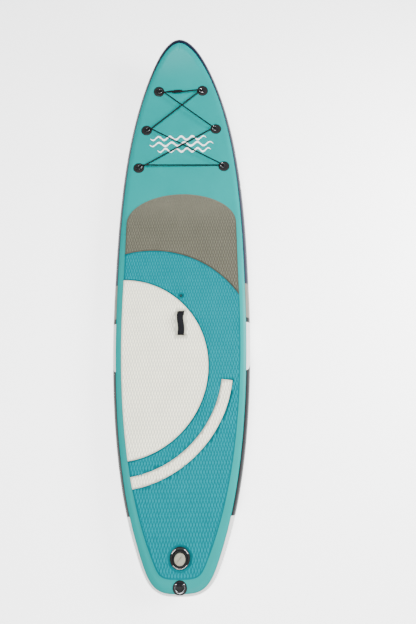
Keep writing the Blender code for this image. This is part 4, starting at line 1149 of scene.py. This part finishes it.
for start, end in ((28, 62), (118, 152)):
    raised(0.0562, 0.0580, start, end, 0.0060, 0.0068, 24)
for k in range(13):
    raised(0.0540, 0.0580, 222 + 8 * k, 224.2 + 8 * k, 0.0060, 0.0068, 2)
marks = make("valve_marks", marks_points, marks_faces, ink, 30.0)
base = joined("valve_base", base, marks)
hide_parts("valve_ring")
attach(base, "board")

BORE = 0.0170
LEDGE = BORE - 0.0012
profile = [(0.0220, -0.0420), (0.0220, 0.0037), (0.0440, 0.0037), (0.0440, 0.0056), (0.0434, 0.0062),
           (0.0296, 0.0068), (0.0290, 0.0074), (0.0290, 0.0145), (0.0286, 0.0150), (0.0259, 0.0150),
           (0.0255, 0.0145), (0.0240, 0.0040), (BORE, -0.0020), (BORE, -0.0228), (LEDGE, -0.0228),
           (LEDGE, -0.0420)]
body = turned("valve_tube", profile, VALVE, valve_black, 120)
KNURLS, KNURL_IN, KNURL_OUT = 60, 0.0335, 0.0425
knurl_points, knurl_faces = [], []
for k in range(KNURLS):
    turn, spread = 2 * math.pi * k / KNURLS, math.radians(1.5)
    knurl_faces += stacked(len(knurl_points), 4, 2)
    for level in (0.0058, 0.0070):
        for radius, lean in ((KNURL_IN, -1), (KNURL_OUT, -0.9), (KNURL_OUT, 0.9), (KNURL_IN, 1)):
            at = turn + lean * spread
            knurl_points.append(VALVE @ Vector((radius * math.cos(at), radius * math.sin(at), level)))
body = joined("valve_tube", body, make("knurls", knurl_points, knurl_faces, valve_black, 30.0))
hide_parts("valve_body")
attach(body, "board")

gasket = turned("body_gasket", [(0.0226, GAP), (0.0295, GAP), (0.0295, 0.0031), (0.0226, 0.0031)],
                VALVE, seal_black, 96)
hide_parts("valve_gasket")
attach(gasket, "board")
nut_profile = [(0.0223, under - 0.009), (0.0335, under - 0.009), (0.0345, under - 0.008),
               (0.0360, under - 0.002), (0.0360, under), (0.0223, under)]
nut = turned("chamber_nut", nut_profile, VALVE, valve_black, 96)
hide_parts("valve_back_nut")
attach(nut, "board")
recoat("valve_guide", valve_black)

stem_profile = [(0.0, -0.0470), (0.0190, -0.0470), (0.0195, -0.0466), (0.0195, -0.0446), (0.0030, -0.0446),
                (0.0030, -0.0034), (0.0026, -0.0030), (0.0, -0.0030)]
stem = turned("poppet_stem", stem_profile, VALVE, spring_steel, 64)
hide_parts("valve_stem")
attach(stem, "valve_stem")
seal = turned("poppet_seal", [(0.0033, -0.0443), (0.0195, -0.0443), (0.0195, -0.0426), (0.0192, -0.0423),
                              (0.0033, -0.0423)], VALVE, seal_black, 72)
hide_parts("valve_seal")
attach(seal, "valve_stem")
button_profile = [(0.0, -0.0027), (0.0070, -0.0027), (0.0070, -0.0120), (0.0090, -0.0120), (0.0095, 0.0000),
                  (0.0090, 0.0022), (0.0080, 0.0034), (0.0062, 0.0039), (0.0050, 0.0038), (0.0, 0.0040)]
button = turned("push_button", button_profile, VALVE, knob_grey, 64)
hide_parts("valve_button")
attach(button, "valve_button")
COIL_TURNS, COIL_STEPS, COIL_RADIUS, COIL_FOOT, COIL_HEIGHT = 4, 24, 0.0052, -0.0193, 0.0155
coil = []
for k in range(COIL_TURNS * COIL_STEPS + 1):
    turn, climb = 2 * math.pi * k / COIL_STEPS, k / (COIL_TURNS * COIL_STEPS)
    spot = (COIL_RADIUS * math.cos(turn), COIL_RADIUS * math.sin(turn), COIL_FOOT + COIL_HEIGHT * climb)
    coil.append(VALVE @ Vector(spot))
spring = tube("coil_spring", coil, 0.0006, spring_steel, False, 3)
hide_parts("valve_spring")
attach(spring, "board")
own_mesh(spring)

lid_profile = [(0.0300, 0.0075), (0.0334, 0.0075), (0.0340, 0.0081), (0.0345, 0.0146), (0.0342, 0.0154),
               (0.0326, 0.0180), (0.0316, 0.0186), (0.0290, 0.0188), (0.0284, 0.0183), (0.0262, 0.0183),
               (0.0256, 0.0189), (0.0, 0.0195), (0.0, 0.0165), (0.0300, 0.0165)]
lid = turned("cap_lid", lid_profile, VALVE, cap_plastic, 120)
grip_levels = []
for inset, level in ((0.0, 0.0183), (0.0, 0.0222), (0.0004, 0.0230), (0.0012, 0.0235)):
    outline = [(y, x) for x, y in stadium(0.058 - 2 * inset, 0.007 - 2 * inset)]
    grip_levels.append((outline, level))
grip = stack("grip", grip_levels, VALVE @ Matrix.Rotation(math.radians(50), 4, "Z"), cap_plastic)
lid = joined("cap_lid", lid, grip)
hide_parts("valve_cap")
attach(lid, "cap")
washer = turned("cap_washer", [(0.0258, 0.0153), (0.0287, 0.0153), (0.0287, 0.0162), (0.0258, 0.0162)],
                VALVE, seal_black, 96)
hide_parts("valve_cap_seal")
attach(washer, "cap_seal")

# ---------------------------------------------------------------- fin boxes
# Two removable-fin boxes are glued to the hull. Each has a stepped flange in the board's colour
# and a black box let into the hull, with pale guide rails along the slot that the fin slides into.
FLANGE_LONG, FLANGE_WIDE = 0.345, 0.110
SLOT_LONG, SLOT_WIDE, SLOT_DEEP = 0.284, 0.0105, 0.0320
GUIDE_HALF, GUIDE_WIDE, GUIDE_AT = 0.118, 0.0044, 0.0093
flange = pvc("flange_turquoise", (0.001, 0.24, 0.23), 0.34, 0.00004)
box_black = rubber("box_black", (0.004, 0.0045, 0.006), 0.36)
rail_grey = rubber("rail_grey", (0.12, 0.13, 0.13), 0.40)
for key, s in FIN_BOXES:
    place = Matrix.Translation((0.0, s - LENGTH / 2, 0.0))
    steps = []
    for inset, level in ((0.0, 0.0050), (0.0, 0.0034), (0.0006, 0.0030), (0.0042, 0.0027), (0.0050, 0.0021),
                         (0.0082, 0.0017), (0.0090, 0.0008), (0.0100, 0.0001), (0.0108, 0.0)):
        steps.append((stadium(FLANGE_LONG - 2 * inset, FLANGE_WIDE - 2 * inset, 32), level))
    for grow, level in ((0.0016, 0.0), (BOX_ROOM, 0.0012), (BOX_ROOM, 0.0050)):
        steps.append((stadium(BOX_LONG + 2 * grow, BOX_WIDE + 2 * grow, 32), level))
    rings = [[place @ Vector((x, y, z)) for x, y in outline] for outline, z in steps]
    base = hoop(f"flange_{key}", rings, flange)
    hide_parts(f"fin_base_{key}")
    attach(base, "board")
    shape = [(stadium(BOX_LONG - 2 * inset, BOX_WIDE - 2 * inset, 32), level)
             for inset, level in ((0.0010, 0.0006), (0.0, 0.0014), (0.0, 0.036))]
    box = stack(f"slot_box_{key}", shape, place, box_black)
    for length, width, low, high in ((0.292, 0.028, -0.01, 0.0046),
                                     (SLOT_LONG, SLOT_WIDE, 0.0, SLOT_DEEP)):
        outline = stadium(length, width, 32)
        carve(box, stack("hole", [(outline, low), (outline, high)], place, None))
    rails = []
    for sign in (-1, 1):
        low, high = sign * GUIDE_AT - GUIDE_WIDE / 2, sign * GUIDE_AT + GUIDE_WIDE / 2
        rail = [(low, -GUIDE_HALF), (high, -GUIDE_HALF), (high, GUIDE_HALF), (low, GUIDE_HALF)]
        rails.append(stack("rail", [(rail, 0.0052), (rail, 0.0030)], place, rail_grey))
    box = joined(f"slot_box_{key}", box, *rails)
    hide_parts(f"fin_box_{key}")
    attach(box, "board")

# ---------------------------------------------------------------- deck insert
# A small threaded insert sits in the pad ahead of the strap, for a screw-on camera mount.
place = Matrix.Translation((0.0, INSERT_AT - LENGTH / 2, DECK))
rim = [(0.0030, GAP), (0.0075, GAP), (0.0075, 0.0040), (0.0072, 0.0046), (0.0064, 0.0050), (0.0050, 0.0050),
       (0.0044, 0.0046), (0.0034, 0.0046), (0.0030, 0.0042)]
insert = turned("mount_insert", rim, place, valve_black, 48)
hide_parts("deck_insert")
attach(insert, "board")
